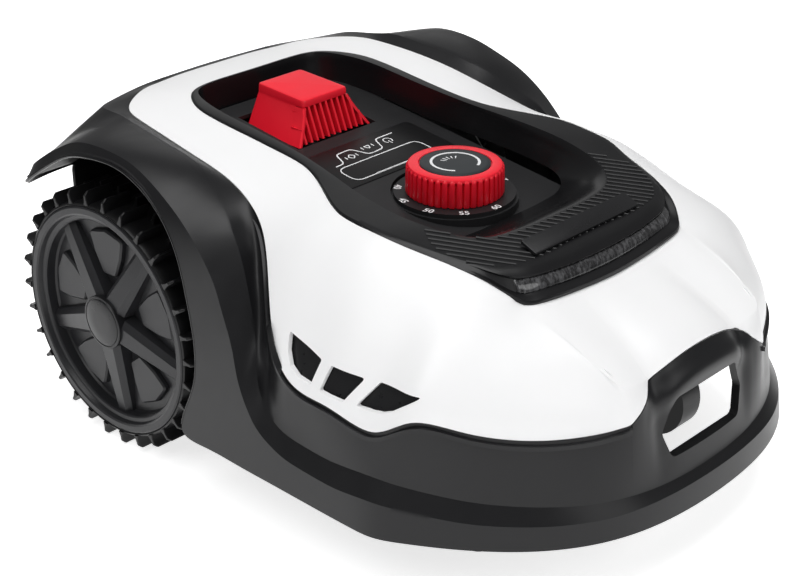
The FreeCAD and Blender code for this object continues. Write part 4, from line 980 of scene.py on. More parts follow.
class MOWER_OT_control_ring(Operator):
    """Builds the ring round the controls, its ribbed panel, the lens and the name plate"""
    bl_idname = "mower.control_ring"
    bl_label = "Control ring"

    def execute(self, context):
        sizes = context.scene.mower
        s = ring_sections()
        outer, top, rim, foot = (s[:, k] for k in range(4))
        front = smooth_step((outer[:, 0] - 268) / 26)
        shape = Shape()
        rows = []
        for share, bump in FRONT_WALL:
            line = outer + (top - outer) * share
            out = (outer - top) * (1, 1, 0)
            out /= np.linalg.norm(out, axis=1)[:, None] + 1e-9
            side_bulge = 0.5 * math.sin(math.pi * share)
            line = line + out * (bump * front + side_bulge * (1 - front))[:, None]
            rows.append(line)
        wall = np.array(rows).transpose(1, 0, 2)
        shape.grid(wall, 0)
        shape.grid(band(top, rim, 9, np.tile([0, 0, 0.25], (len(top), 1))), 0)
        t = np.linspace(0, 1, 14)
        slope = []
        for a, b in zip(rim, foot):
            roll = 3.0
            line = [a + (b - a) * k + np.array([0,
                                                0, 1]) * (roll * math.sin(math.pi * min(1,
                                                                                        k / 0.35)) * 0.3 * (k < 0.35))
                    for k in t]
            slope.append(line)
        shape.grid(np.array(slope), 1)
        both(shape)
        ring = build("ControlRing", shape, ["ring_top", "ring_slope"], sharp=30, merge=0.02)
        point_up(ring)
        thicken(ring, sizes.ring_wall)
        shade(ring, 30)
        finish_piece(ring, "cover", "black_shell", "control_ring")

        keep = np.where((outer[:, 0] > 290) & (outer[:, 1] <= LENS_ENDS[0] + 3))[0]
        lens = Shape()
        face = []
        for i in keep:
            a, b = wall[i, 5], wall[i, 6]
            out = (a - b) * (1, 1, 0)
            line = [a + (b - a) * k + (out / (np.linalg.norm(out) + 1e-9)) * (0.5 + 1.3 * math.sin(math.pi * k)) for k in np.linspace(0, 1, 9)]
            face.append(line)
        lens.grid(np.array(face))
        both(lens)
        window = build("LightLens", lens, ["clear_lens"], merge=0.02)
        point_up(window)
        thicken(window, 1.6)
        finish_piece(window, "cover", "clear_lens", "light_lens")
        prisms = Shape()
        for i in keep:
            a, b = wall[i, 5], wall[i, 6]
            prisms.prism([(-0.25, -0.2), (0.25, -0.2), (0.25, 0.2), (-0.25, 0.2)], 0,
                         np.linalg.norm(b - a) * 0.86, lens_seat(a + (b - a) * 0.07, b - a))
        both(prisms)
        lines = build("LensPrisms", prisms, ["lens_prism"])
        finish_piece(lines, "cover", "clear_lens")

        edge = half_spline([(x, y, 0) for x, y in PANEL_EDGE], 60, start=False)
        ribs = Shape()
        outline = np.concatenate([edge[:, :2], (edge[::-1][1:, :2] * (1, -1))])
        rim_line = rim[rim[:, 0] >= 214][:, :2]
        inner = np.concatenate([rim_line, rim_line[::-1][1:] * (1, -1)])
        region = np.concatenate([outline, inner[::-1]])
        heading = math.radians(sizes.rib_heading)
        along = np.array([math.cos(heading), math.sin(heading)])
        across = np.array([-along[1], along[0]])
        offsets = region @ across
        for offset in np.arange(offsets.min() + 1, offsets.max(), sizes.rib_pitch):
            for a, b in spans(region, along, across, offset):
                if b - a < 3:
                    continue
                count = max(2, int((b - a) / 4) + 1)
                steps = np.linspace(a + 0.8, b - 0.8, count)
                points = np.array([along * k + across * offset for k in steps])
                z = top_height(s, points[:, 0], points[:, 1])
                rows = []
                for side, lift in ((-1.5, -0.5), (-1.1, 0.55), (-0.5, 0.95), (0.5, 0.95), (1.1, 0.55),
                                   (1.5, -0.5)):
                    flat = points + across * side
                    rows.append(np.column_stack([flat, z + lift]))
                loop = np.array(rows).transpose(1, 0, 2)
                ribs.loops(list(loop))
        panel = build("RibbedPanel", ribs, ["ring_top"])
        finish_piece(panel, "cover", "black_shell")

        plate = Shape()
        tilt = seat((281.7, 0, 203.2), (12.8, 0, -5.4), (0, 1, 0))
        plate.prism(rounded([(-7.2, -55.7), (7.2, -55.7), (7.2, 55.7), (-7.2, 55.7)], 1.5), -1.4, 0.6, tilt,
                    bevel=0.5)
        made = build("NamePlate", plate, ["plate"])
        finish_piece(made, "cover", "dial_label", "name_plate")
        return {"FINISHED"}


def lens_seat(origin, upward):
    upward = Vector(upward).normalized()
    side = upward.orthogonal().normalized()
    made = Matrix((side, upward.cross(side), upward)).transposed().to_4x4()
    made.translation = Vector(origin)
    return made


def spans(region, along, across, offset):
    """Stretches of a straight line that lie inside a flat region."""
    cuts = []
    for p, q in zip(region, np.roll(region, -1, axis=0)):
        a, b = p @ across - offset, q @ across - offset
        if (a < 0) != (b < 0):
            r = p + (q - p) * a / (a - b)
            cuts.append(float(r @ along))
    cuts.sort()
    return list(zip(cuts[::2], cuts[1::2]))


# ---------------------------------------------------------------- drive wheels
class MOWER_OT_wheels(Operator):
    """Builds the drive wheels: paddle tyres, spoked rims and hub caps"""
    bl_idname = "mower.wheels"
    bl_label = "Drive wheels"

    def execute(self, context):
        sizes = context.scene.mower
        face = WHEEL_FACE
        for side, name in ((1, "left"), (-1, "right")):
            # u forward, v up (mirrored on the right so that the outer face is always +w)
            place = seat((0, 0, AXLE_Z), (-side, 0, 0), (0, 0, 1))
            wheel = Shape()
            back = face - sizes.tyre_width
            profile = [(86, back + 1.5), (89, back), (90.2, back + 1.2), (90.6, back + 5),
                       (90.8, back + 18), (90.8,
                        face - 9), (90.6,
                                    face - 3.5), (89.8, face - 1.2), (88.6, face - 0.6), (87.6, face - 1.4),
                       (87.2, face - 3)]
            wheel.turned(profile, 160, place)
            tyre = build(f"{name}_tyre_body", wheel, ["tyre"], sharp=40)
            cleats = [self.cleats(place, sizes, back, face, row, name) for row in (0, 1)]
            join([tyre] + cleats)
            finish_piece(tyre, f"{name}_wheel", "tyre", f"{name}_tyre")
            self.rim(place, face, name)
        return {"FINISHED"}

    def cleats(self, place, sizes, back, face, row, name):
        """One row of flat paddles, each a tapered block that leans out to the side of the wheel."""
        turn = 2 * math.pi / sizes.cleats
        middle = back + (face - back) * 0.5
        low, high = (middle - 1, face) if row == 0 else (back, middle + 1)
        root, tip = 89.6, 100.0
        half_root, half_tip = 2.6, 0.95
        block = Shape()
        chamfer = 3.0
        rings = []
        for radius, half, cut in ((root, half_root, 0.0), (93.0, 1.5, 0.0), (tip - chamfer, half_tip + 0.2,
                                                                             0.0),
                                  (tip - 0.8, half_tip, chamfer - 0.9), (tip, half_tip - 0.4,
                                                                         chamfer + 0.2)):
            near, far = (low + 0.0, high - cut) if row == 0 else (low + cut, high - 0.0)
            soft = 0.45
            ring = [(radius, -half + soft, near), (radius, half - soft, near), (radius, half, near + soft),
                    (radius, half, far - soft), (radius, half - soft, far), (radius, -half + soft, far),
                    (radius, -half, far - soft), (radius, -half, near + soft)]
            rings.append(ring)
        block.loops([[(x, y, z) for x, y, z in ring] for ring in rings])
        obj = local(f"{name}_cleats_{row}", block, ["tyre"], sharp=35)
        obj = run_tree(obj, "around", Count=sizes.cleats, Turn=turn, Finish=FINISHES["tyre"])
        shift = Matrix.Rotation(turn / 2 * row, 4, "Z")
        obj.data.transform(placed(place) @ shift)
        shade(obj, 35)
        return obj

    def rim(self, place, face, name):
        rim = Shape()
        dish = face - 14
        profile = [(87.2, face - 6), (88, face - 2.2), (87.4, face - 0.9), (86.2, face - 0.3),
                   (82.2, face - 0.3), (80.8,
                    face - 1.0), (80.2,
                                  face - 2.4), (79.6, face - 4.2), (77.2, face - 4.8), (76.2, face - 5.8),
                   (75.6, dish + 1.5), (74.4, dish), (19, dish), (18.6, dish - 6), (87.2, dish - 6)]
        rim.turned(profile, 180, place, closed=True)
        body = build(f"{name}_rim", rim, ["rim_plastic"], sharp=28)
        star = Shape()
        hub, tip = 17.5, 77.0
        rings = []
        for h_in, h_out, high_in, high_out in ((12.5, 9.0, dish - 0.5, dish - 0.5), (11.6, 8.2, face - 3.2,
                                                                                     face - 11.6),
                                               (11.0, 7.7, face - 2.8, face - 11.2), (7.8, 4.6, face + 0.9,
                                                                                      face - 8.4),
                                               (7.2, 4.1, face + 1.2, face - 8.1)):
            rings.append([(hub - 12, -h_in, high_in), (tip, -h_out, high_out), (tip, h_out, high_out),
                          (hub - 12, h_in, high_in)])
        star.loops(rings)
        arm = local(f"{name}_arms", star, ["rim_plastic"], sharp=25)
        arm = run_tree(arm, "around", Count=5, Turn=2 * math.pi / 5, Finish=FINISHES["rim_plastic"])
        arm.data.transform(placed(place) @ Matrix.Rotation(math.radians(bpy.context.scene.mower.spoke_turn),
                                                           4, "Z"))
        island = Shape()
        rings = []
        for height, grow in ((dish - 0.5, 0.0), (dish + 3.2, 0.5), (dish + 4.4, 1.8)):
            pts = []
            for r, a in ((34, -13), (34, 13), (52, 17.5), (68, 17), (69.5, 0), (68, -17), (52, -17.5)):
                pts.append((r * math.cos(math.radians(a)), r * math.sin(math.radians(a))))
            pts = inset(rounded(pts, 4, 3), grow)
            rings.append([(x, y, height) for x, y in pts])
        island.loops(rings)
        raised = local(f"{name}_islands", island, ["rim_plastic"], sharp=25)
        raised = run_tree(raised, "around", Count=5, Turn=2 * math.pi / 5, Finish=FINISHES["rim_plastic"])
        raised.data.transform(placed(place) @ Matrix.Rotation(
            math.radians(bpy.context.scene.mower.spoke_turn + 36), 4, "Z"))
        join([body, arm, raised])
        shade(body, 26)
        finish_piece(body, f"{name}_wheel", "rim_plastic", f"{name}_rim")
        cap = Shape()
        cap.turned([(20.4, dish - 1), (20.4, face + 1.0), (20.0, face + 1.5), (18.9, face + 1.7),
                    (18.5, face + 1.1), (18.1,
                     face + 1.1), (17.8,
                                   face + 1.6), (17.0, face + 1.9), (8, face + 2.1), (0.01, face + 2.2)],
                   96, place)
        centre = build(f"{name}_hub_cap", cap, ["rim_gloss"], sharp=24)
        finish_piece(centre, f"{name}_wheel", "rim_plastic", f"{name}_hub_cap")


def placed(place):
    """The same placing for meshes already in metres and in the row frame."""
    made = place.copy()
    made.translation = Vector(((place.translation.x + AXLE_X) / 1000, place.translation.y / 1000,
                               place.translation.z / 1000))
    return made


def local(name, shape, paints, sharp=32):
    """A mesh object in metres about its own centre, for shapes that are repeated."""
    obj = build(name, shape, paints, sharp)
    obj.data.transform(Matrix.Translation((-AXLE_X / 1000, 0, 0)))
    return obj


def join(parts):
    """Merges several objects' meshes into the first."""
    first = parts[0]
    materials = list(first.data.materials)
    edit = bmesh.new()
    for part in parts:
        for material in part.data.materials:
            if material not in materials:
                materials.append(material)
        start = len(edit.faces)
        edit.from_mesh(part.data)
        edit.faces.ensure_lookup_table()
        for face in edit.faces[start:]:
            slots = part.data.materials
            face.material_index = materials.index(slots[face.material_index]) if len(slots) else 0
    edit.to_mesh(first.data)
    edit.free()
    for material in materials[len(first.data.materials):]:
        first.data.materials.append(material)
    for part in parts[1:]:
        bpy.data.objects.remove(part)
    return first


# ---------------------------------------------------------------- stop button
class MOWER_OT_stop_button(Operator):
    """Builds the large red stop button with its flared, slotted front"""
    bl_idname = "mower.stop_button"
    bl_label = "Stop button"

    def execute(self, context):
        body = Shape()
        # From the foot up: rear x, front x, half widths at the rear and the front, heights at the rear and the front.
        levels = [(-17, 35.5, 33, 37.5, 205, 203), (-16.6, 33.9, 30, 33.6, 212, 209), (-16.2, 31.2, 26.8,
                                                                                       28.8, 219, 216.5),
                  (-15.8, 28.6, 24.4, 25.4, 225, 223), (-15.5, 27.0, 23.2, 24, 228, 226.6),
                  (-15.3, 26.4, 22.8, 23.4, 229.2, 228), (-15.2, 36.4, 22.7, 23.4, 229.6, 228.6),
                  (-15, 36.2, 22.5, 23.3, 235, 232.6), (-14.6, 35.7, 22.1, 22.9, 236, 233.6),
                  (-13.4, 34.5, 20.9, 21.7, 236.4, 234.1)]
        foot_z, lip_z, flare_y, lip_y = 204.0, 228.8, 37.5, 23.4
        flared = 6

        def front(z):
            return 36.2 + 9.8 * (lip_z - z) / (lip_z - foot_z)

        rings = []
        for number, (x0, x1, h0, h1, z0, z1) in enumerate(levels):
            if number < flared:
                h1 = h0 + (h1 - h0) * (x1 - x0) / (front(z1) - x0)
            outline = rounded([(x0, -h0), (x1, -h1), (x1, h1), (x0, h0)], 3.2, 4)
            share = (outline[:, 0] - x0) / (x1 - x0)
            rings.append(np.column_stack([outline, z0 + (z1 - z0) * share]))
        body.loops(rings)
        knob = build("StopButton", body, ["red_plastic", "red_texture"], sharp=28)
        top = Shape()
        rings = []
        for lift, grow in ((-1.5, 0.0), (0.25, 0.1), (0.45, 0.35), (0.5, 0.9)):
            outline = inset(rounded([(-12.8, -20.6), (34.0, -21.3), (34.0, 21.3), (-12.8, 20.6)], 2.5, 4),
                            grow)
            z = 236.1 - (outline[:, 0] + 15) * 0.052
            rings.append(np.column_stack([outline, z + lift]))
        last = rings[-1]
        centre = last.mean(axis=0)
        top.loops(rings, 0, open_end=True)
        crown = [last]
        for share in (0.75, 0.5, 0.25, 0.02):
            ring = centre + (last - centre) * share
            ring[:, 2] += 0.9 * (1 - share ** 2)
            crown.append(ring)
        top.loops(crown, 1, cap=False)
        plate = build("top", top, ["red_plastic", "red_texture"], sharp=30)
        ribs = Shape()
        half = 1.25
        for k in range(-5, 6):
            y = 5.9 * k
            spare = max(0.0, abs(y) + half + 0.8 - lip_y) / (flare_y - lip_y)
            high = lip_z - spare * (lip_z - foot_z)
            ribs.loops([[(front(high) - 11.5, y + side * half, high), (front(foot_z) - 11.5,
                                                                       y + side * half, foot_z - 1),
                         (front(foot_z), y + side * half * 0.75, foot_z), (front(high),
                                                                           y + side * half * 0.75, high)]
                        for side in (-1, 1)])
        wide = 3.0
        for side in (-1, 1):
            rings = []
            for rear_x, _, rear_y, y, _, z in levels[:flared]:
                x = front(z)
                back_y = y - (y - rear_y) * 17 / (x - rear_x) + 0.05
                rings.append([(x - 17, side * (back_y - wide), z), (x, side * (y - wide), z),
                              (x + 0.3, side * (y - wide * 0.4), z), (x - 0.5, side * y,
                                                                      z), (x - 17, side * back_y, z)])
            ribs.loops(rings)
        # A black sheet at the back of the slots between the front ribs: partly the dark inside of the button seen
        # through the slots, partly painted shade for the deep shadow in them.
        ribs.loops([[(x, y, z) for y in (-w, w) for x, z in (pair if y < 0 else pair[::-1])] for pair, w in
                    ((((28.0, 228.0), (26.0, 228.0)), 22.0), (((37.0, 204.0), (35.0, 204.0)), 35.5))], 1)
        slots = build("ribs", ribs, ["red_plastic", "chassis_plastic"], sharp=25)
        join([knob, plate, slots])
        shade(knob, 30)
        finish_piece(knob, "stop", "red_plastic", "stop_button")
        return {"FINISHED"}


# ---------------------------------------------------------------- keypad
WAVE = [(70.8, 36), (71, 17), (85, 12), (86, -3.5), (71.8, -10.5), (72.5, -25.5), (86, -30), (86.5, -39)]
PAD_FRAME = [(90.5, -42), (111.5, -42), (111.5, 42), (90.5, 42)]
TRAY_REAR, TRAY_FRONT = (-36, 214.5), (236, 181)


class MOWER_OT_keypad(Operator):
    """Prints the keypad's frame, wave line and icons"""
    bl_idname = "mower.keypad"
    bl_label = "Keypad"

    def execute(self, context):
        low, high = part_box("keypad")
        x0, x1 = 1000 * low.x - AXLE_X, 1000 * high.x - AXLE_X
        top = 1000 * high.z
        tilt = math.atan2(TRAY_FRONT[1] - TRAY_REAR[1], TRAY_FRONT[0] - TRAY_REAR[0])
        middle = ((x0 + x1) / 2, 0, (1000 * low.z + top) / 2)
        place = seat(middle, (math.cos(tilt), 0, math.sin(tilt)), (0, 1, 0))
        half_x, half_y = (x1 - x0) / 2 - 1, 1000 * high.y - 1
        lift = (top - middle[2]) - half_x * abs(math.sin(tilt)) - 0.4
        film = Shape()
        film.prism(rounded([(-half_x, -half_y), (half_x, -half_y), (half_x, half_y), (-half_x, half_y)], 6),
                   -1.0, lift, place, bevel=0.3)
        face = build("KeypadFace", film, ["keypad_film"])
        finish_piece(face, "chassis", "keypad_film", "keypad")
        print_shape = Shape()
        z = lift + 0.06

        def line(points, width, closed=False):
            points = np.asarray(points, float)
            ahead = np.roll(points, -1, axis=0) - points if closed else np.gradient(points, axis=0)
            if closed:
                ahead = np.roll(points, -1, axis=0) - np.roll(points, 1, axis=0)
            ahead /= np.linalg.norm(ahead, axis=1)[:, None]
            side = np.column_stack([-ahead[:, 1], ahead[:, 0]]) * width / 2
            a = np.column_stack([points - side, np.full(len(points), z)])
            b = np.column_stack([points + side, np.full(len(points), z)])
            grid = np.stack([a, b], axis=1)
            print_shape.grid(carried(grid.reshape(-1, 3), place).reshape(grid.shape), around=closed)

        def on_pad(points):
            return [(x - (middle[0]), y) for x, y in points]

        def soft(points, radius, closed=False):
            """Rounds the corners of an open or closed line."""
            if closed:
                return rounded(on_pad(points), radius)
            made = [np.array(points[0], float)]
            for before, here, after in zip(points, points[1:], points[2:]):
                here = np.array(here, float)
                a, b = np.array(before) - here, np.array(after) - here
                reach = min(radius, 0.45 * np.linalg.norm(a), 0.45 * np.linalg.norm(b))
                p, q = here + a / np.linalg.norm(a) * reach, here + b / np.linalg.norm(b) * reach
                made += [p * (1 - t) ** 2 + 2 * here * t * (1 - t) + q * t ** 2 for t in np.linspace(0,
                                                                                                     1, 7)]
            made.append(np.array(points[-1], float))
            return on_pad(made)

        line(soft(WAVE, 3.5), 1.15)
        line(soft(PAD_FRAME, 8, closed=True), 1.0, closed=True)
        line(on_pad([(111.2, -21.4), (111.2, 21.4)]), 1.7)
        cx, cy = on_pad([(78, 24)])[0]
        turn = np.radians(np.linspace(35, 325, 26))
        line(np.column_stack([cx + 3.6 * np.cos(turn), cy + 3.6 * np.sin(turn)]), 0.9)
        line([(cx + 0.4, cy), (cx + 5.6, cy)], 0.9)
        for (mx, my), sides in (((76.5, 3.5), 3), ((81, -17.5), 4)):
            mx, my = on_pad([(mx, my)])[0]
            spin = np.radians(np.arange(sides) * 360 / sides)
            line(rounded(np.column_stack([mx + 3.1 * np.cos(spin), my + 3.1 * np.sin(spin)]), 0.6), 0.95,
                 closed=True)
            for step in (-5.5, 5.5):
                line([(mx - 1.8, my + step), (mx + 1.8, my + step)], 0.95)
        marks = build("KeypadPrint", print_shape, ["print"], outward=False)
        if marks.data.polygons[0].normal.z < 0:
            marks.data.flip_normals()
        finish_piece(marks, "chassis", "dial_label")
        return {"FINISHED"}


# ---------------------------------------------------------------- height dial
SCALE_DIGITS, SCALE_REACH = 0.0078, 41.5


class MOWER_OT_dial(Operator):
    """Builds the fluted height dial, its cap and the numbered scale round it"""
    bl_idname = "mower.dial"
    bl_label = "Height dial"

    def execute(self, context):
        sizes = context.scene.mower
        radius, top = sizes.dial_radius, DIAL_TOP
        foot = top - sizes.dial_height
        knob = Shape()
        place = seat((DIAL_X, 0, 0))
        knob.turned([(radius - 3.0, foot), (radius - 3.2, foot + 1.5), (radius - 3.2, top - 4),
                     (radius - 1.5, top - 2.6),
                     (radius - 1.5, top - 1.5), (radius - 2.2, top - 0.5), (radius - 3.8,
                                                                            top), (radius - 9.3,
                                                                                   top - 0.2), (radius - 9.8, top - 1.2),
                     (0.01, top - 1.2)], 120, place)
        body = build("DialKnob", knob, ["red_plastic"], sharp=35)
        flute = Shape()
        rings = []
        for z, r, half in ((foot, radius - 0.8, 1.8), (foot + 1.2, radius, 1.8), (top - 3.4, radius - 0.5,
                                                                                  1.75),
                           (top - 2.0, radius - 0.8, 1.6), (top - 1.2, radius - 1.7,
                                                            1.3), (top - 1.0, radius - 4.6, 0.8)):
            rings.append([(r - 3, -half, z), (r - 0.5, -half, z), (r, -half * 0.5, z), (r, half * 0.5, z),
                          (r - 0.5, half, z), (r - 3, half, z)])
        flute.loops(rings)
        ribs = local("flutes", flute, ["red_plastic"], sharp=40)
        ribs = run_tree(ribs, "around", Count=sizes.flutes, Turn=2 * math.pi / sizes.flutes,
                        Finish=FINISHES["red_plastic"])
        ribs.data.transform(placed(place))
        join([body, ribs])
        shade(body, 35)
        finish_piece(body, "dial", "red_plastic", "dial_knob")
        cap = Shape()
        cap.turned([(radius - 10.2, top - 1.6), (radius - 10.2, top - 0.2), (radius - 10.7, top + 0.1),
                    (radius - 14, top + 0.25), (0.01, top + 0.3)], 96, place)
        disc = build("DialCap", cap, ["dial_label"], sharp=30)
        disc.data.materials.append(FINISHES["print"])
        ring = Shape()
        arc(ring, (DIAL_X, 0), 17.2, 2.0, top + 0.4, sizes.arc_start, sizes.arc_start + 292)
        for a in np.linspace(sizes.arc_start + 110, sizes.arc_start + 190, 5):
            arc(ring, (DIAL_X, 0), 8.5, 4.5, top + 0.4, a - 3, a + 3, 3)
        marks = build("cap marks", ring, ["print"], outward=False)
        join([disc, marks])
        finish_piece(disc, "dial", "dial_label", "dial_cap")
        numbers = [self.number(5 * k + 20,
                               sizes.number_turn - sizes.number_step * (8 - k)) for k in range(9)]
        join(numbers)
        numbers[0].name = "ScaleNumbers"
        finish_piece(numbers[0], "chassis", "dial_label")
        return {"FINISHED"}

    def number(self, value, turn):
        """One number of the scale, lying flat with its foot towards the rim."""
        angle = math.radians(turn)
        made = flat_text(str(value), SCALE_DIGITS)
        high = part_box("dial_scale")[1]
        at = Vector(((DIAL_X + AXLE_X + SCALE_REACH * math.cos(angle)) / 1000,
                     SCALE_REACH * math.sin(angle) / 1000, high.z + 0.0001))
        made.data.transform(Matrix.Translation(at) @ Matrix.Rotation(angle + math.pi / 2, 4, "Z"))
        return made


def flat_text(words, height):
    """Plain digits as a flat mesh about their own middle, in metres."""
    curve = bpy.data.curves.new(words, "FONT")
    curve.body, curve.size, curve.align_x, curve.align_y = words, height, "CENTER", "CENTER"
    curve.resolution_u = 3
    curve.offset = 0.00014
    text = bpy.data.objects.new(words, curve)
    bpy.context.scene.collection.objects.link(text)
    bpy.context.view_layer.update()
    mesh = bpy.data.meshes.new_from_object(text.evaluated_get(bpy.context.evaluated_depsgraph_get()))
    bpy.data.objects.remove(text)
    mesh.materials.clear()
    mesh.materials.append(FINISHES["print"])
    made = bpy.data.objects.new(words, mesh)
    bpy.context.scene.collection.objects.link(made)
    return made


def arc(shape, centre, radius, width, z, first, last, steps=72, paint=0):
    angles = np.radians(np.linspace(first, last, steps))
    rows = [np.column_stack([centre[0] + r * np.cos(angles), centre[1] + r * np.sin(angles),
                             np.full(steps, z)])
            for r in (radius - width / 2, radius + width / 2)]
    shape.grid(np.stack(rows, axis=1), paint)


# ---------------------------------------------------------------- stage and CAD pieces


class MOWER_OT_inner_parts(Operator):
    """Gives every piece of the frame that stays in view its finish"""
    bl_idname = "mower.inner_parts"
    bl_label = "Inner parts"

    def execute(self, context):
        for entry in frame["record"]["subparts"]:
            node = frame["nodes"][entry["node"]]
            node.data.materials.clear()
            node.data.materials.append(FINISHES[entry["material_slot"]])
        return {"FINISHED"}


class MOWER_OT_stage(Operator):
    """Sets the floor, the studio lights and the camera"""
    bl_idname = "mower.stage"
    bl_label = "Studio"

    def execute(self, context):
        sizes = context.scene.mower
        scene = context.scene
        scene.view_settings.view_transform = "Standard"
        world = bpy.data.worlds.new("Studio") if not scene.world else scene.world
        scene.world = world
        world.use_nodes = True
        sky = next(n for n in world.node_tree.nodes if n.type == "BACKGROUND")
        sky.inputs["Color"].default_value = (1, 1, 1, 1)
        sky.inputs["Strength"].default_value = sizes.sky
        floor = bpy.data.meshes.new("Floor")
        floor.from_pydata([(-8, -8, 0), (8, -8, 0), (8, 8, 0), (-8, 8, 0)], [], [(0, 1, 2, 3)])
        ground = bpy.data.objects.new("Floor", floor)
        scene.collection.objects.link(ground)
        # Painted light: the floor glows like a lamp. Its glow and pale colour are kept to a strip along the camera's
        # line of sight, with dark floor beyond it, so the floor in view is white while the mower's lower faces reflect
        # darkness.
        pale = Finish("StudioFloor", (0.9, 0.9, 0.9), 0.6, Emission_Color=(1, 1, 1, 1),
                      Emission_Strength=sizes.floor_glow)
        spot = pale.node("ShaderNodeSeparateXYZ", {}, {0: pale.place})
        x, y = Flow(pale, spot.outputs[0]), Flow(pale, spot.outputs[1])
        turn = math.radians(sizes.view_turn)
        aside = x * math.cos(turn) + y * math.sin(turn) - (
            sizes.view_place[0] * math.cos(turn) + sizes.view_place[1] * math.sin(turn))
        aside = pale.out("ShaderNodeMath", {"operation": "ABSOLUTE"}, {0: aside})
        lit = pale.out("ShaderNodeMapRange", {"interpolation_type": "SMOOTHSTEP"},
                       {0: aside, 1: sizes.bright_reach, 2: sizes.bright_reach + 0.25, 3: 1.0, 4: 0.0})
        pale.tint(lit, (0.08, 0.08, 0.08), (0.94, 0.94, 0.94))
        pale.join(pale.out("ShaderNodeMix", {"data_type": "RGBA"}, {0: lit, 6: (0.05, 0.05, 0.05, 1),
                                                                    7: (1, 1, 1, 1)},
                           output=2), pale.shader.inputs["Emission Color"])
        floor.materials.append(pale.material)
        for name, place, size, power in (("Key", (0.2, -1.6, 2.2), 1.6, sizes.key),
                                         ("Fill", (2.2, 0.4, 1.4), 1.6, sizes.fill),
                                         ("Top", (0.1, 0.0, 2.6), 2.0, sizes.top), ("Rim", (-1.6, 1.4, 1.2),
                                                                                    1.2, sizes.rim)):
            light = bpy.data.lights.new(name, "AREA")
            light.shape, light.size, light.energy = "DISK", size, power
            lamp = bpy.data.objects.new(name, light)
            scene.collection.objects.link(lamp)
            lamp.location = place
            lamp.rotation_euler = (Vector((0, 0, 0.1)) - Vector(place)).to_track_quat("-Z", "Y").to_euler()
        turn, tip = math.radians(sizes.view_turn), math.radians(sizes.view_tip)
        gaze = Vector((-math.sin(turn) * math.cos(tip), math.cos(turn) * math.cos(tip), -math.sin(tip)))
        lens = bpy.data.cameras.new("Camera")
        lens.sensor_width, lens.lens = 36, sizes.view_lens
        camera = bpy.data.objects.new("Camera", lens)
        scene.collection.objects.link(camera)
        camera.location = sizes.view_place
        camera.rotation_euler = gaze.to_track_quat("-Z", "Y").to_euler()
        scene.camera = camera
        return {"FINISHED"}


# ---------------------------------------------------------------- sizes and panel
def length(name, default, about):
    return FloatProperty(name=name, description=about, default=default, min=0.0)


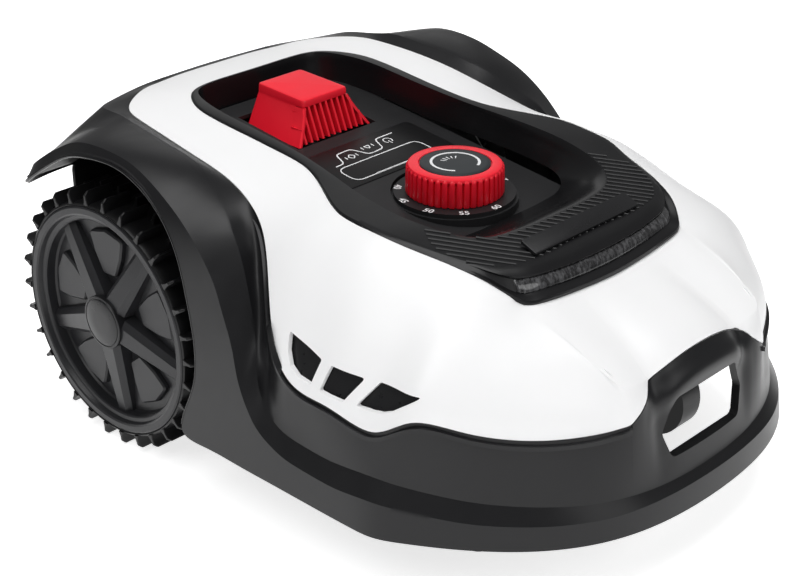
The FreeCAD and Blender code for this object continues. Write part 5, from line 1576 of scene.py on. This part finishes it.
class MowerSizes(PropertyGroup):
    """Sizes in millimetres, angles in degrees, and the studio's settings"""
    cover_wall: length("Cover wall", 3.0, "Thickness of the white cover in mm")
    seam: length("Seam", 0.6, "Gap between the white cover and the black shell in mm")
    shell_wall: length("Shell wall", 2.5, "Thickness of the black shell in mm")
    bead: length("Arch bead", 1.3, "Radius of the rolled edge round each wheel arch in mm")
    ring_wall: length("Ring wall", 2.0, "Thickness of the control ring in mm")
    rib_pitch: length("Rib pitch", 5.4, "Distance between the ribs on the ring in mm")
    rib_heading: FloatProperty(name="Rib heading", description="Direction of the ribs in degrees",
                               default=40.0)
    tyre_width: length("Tyre width", 46.0, "Width of each drive tyre in mm")
    cleats: IntProperty(name="Cleats", description="Paddles in each row of a tyre", default=30)
    spoke_turn: FloatProperty(name="Spoke turn", description="Angle of the first spoke in degrees",
                              default=56.5)
    dial_radius: length("Dial radius", 35.7, "Radius of the height dial in mm")
    dial_height: length("Dial height", 21.4, "Height of the height dial in mm")
    flutes: IntProperty(name="Flutes", description="Ribs round the height dial", default=42)
    arc_start: FloatProperty(name="Arc start", description="Where the arc on the dial begins, in degrees",
                             default=20.0)
    number_turn: FloatProperty(name="Number turn", description="Angle of the scale's last number",
                               default=-3.6)
    number_step: FloatProperty(name="Number step", description="Angle between the scale's numbers",
                               default=35.3)
    white: FloatVectorProperty(name="White", description="Cover colour", subtype="COLOR",
                               default=(0.9, 0.9, 0.905))
    black: FloatVectorProperty(name="Black", description="Shell colour", subtype="COLOR",
                               default=(0.009, 0.009, 0.01))
    red: FloatVectorProperty(name="Red", description="Control colour", subtype="COLOR",
                             default=(0.88, 0.012, 0.03))
    sky: FloatProperty(name="Sky", description="Strength of the white surroundings", default=0.22)
    floor_glow: FloatProperty(name="Floor glow", description="Light that the white floor gives off",
                              default=0.74)
    bright_reach: FloatProperty(name="Bright reach", description="Half width of the bright floor strip",
                                default=0.62, unit="LENGTH")
    key: FloatProperty(name="Key light", description="Power of the near light in watts", default=17.0)
    fill: FloatProperty(name="Fill light", description="Power of the front light in watts", default=11.0)
    top: FloatProperty(name="Top light", description="Power of the overhead light in watts", default=38.0)
    rim: FloatProperty(name="Rim light", description="Power of the rear light in watts", default=1.5)
    view_turn: FloatProperty(name="View turn", description="Camera azimuth in degrees", default=43.557)
    view_tip: FloatProperty(name="View tip", description="Camera elevation in degrees", default=26.235)
    view_lens: FloatProperty(name="View lens", description="Focal length in mm", default=75.07)
    view_place: FloatVectorProperty(name="View place", description="Camera place", subtype="TRANSLATION",
                                    unit="LENGTH", default=(0.74744, -0.82522, 0.65834))


class MOWER_PT_panel(Panel):
    """Sizes and builders for the mower"""
    bl_idname = "MOWER_PT_panel"
    bl_label = "Robotic lawn mower"
    bl_space_type = "VIEW_3D"
    bl_region_type = "UI"
    bl_category = "Mower"

    def draw(self, context):
        for name in MowerSizes.__annotations__:
            self.layout.prop(context.scene.mower, name)
        for step in STEPS:
            self.layout.operator(step.bl_idname)


STEPS = [MOWER_OT_white_cover, MOWER_OT_black_shell, MOWER_OT_control_ring, MOWER_OT_wheels,
         MOWER_OT_stop_button, MOWER_OT_keypad, MOWER_OT_dial, MOWER_OT_inner_parts, MOWER_OT_stage]


def register():
    for kind in [MowerSizes] + STEPS + [MOWER_PT_panel]:
        bpy.utils.register_class(kind)
    bpy.types.Scene.mower = PointerProperty(type=MowerSizes)


def unregister():
    del bpy.types.Scene.mower
    for kind in reversed([MowerSizes] + STEPS + [MOWER_PT_panel]):
        bpy.utils.unregister_class(kind)


def main():
    register()
    make_finishes(bpy.context.scene.mower)
    for step in STEPS:
        family, name = step.bl_idname.split(".")
        getattr(getattr(bpy.ops, family), name)()


if __name__ == "__main__":
    main()
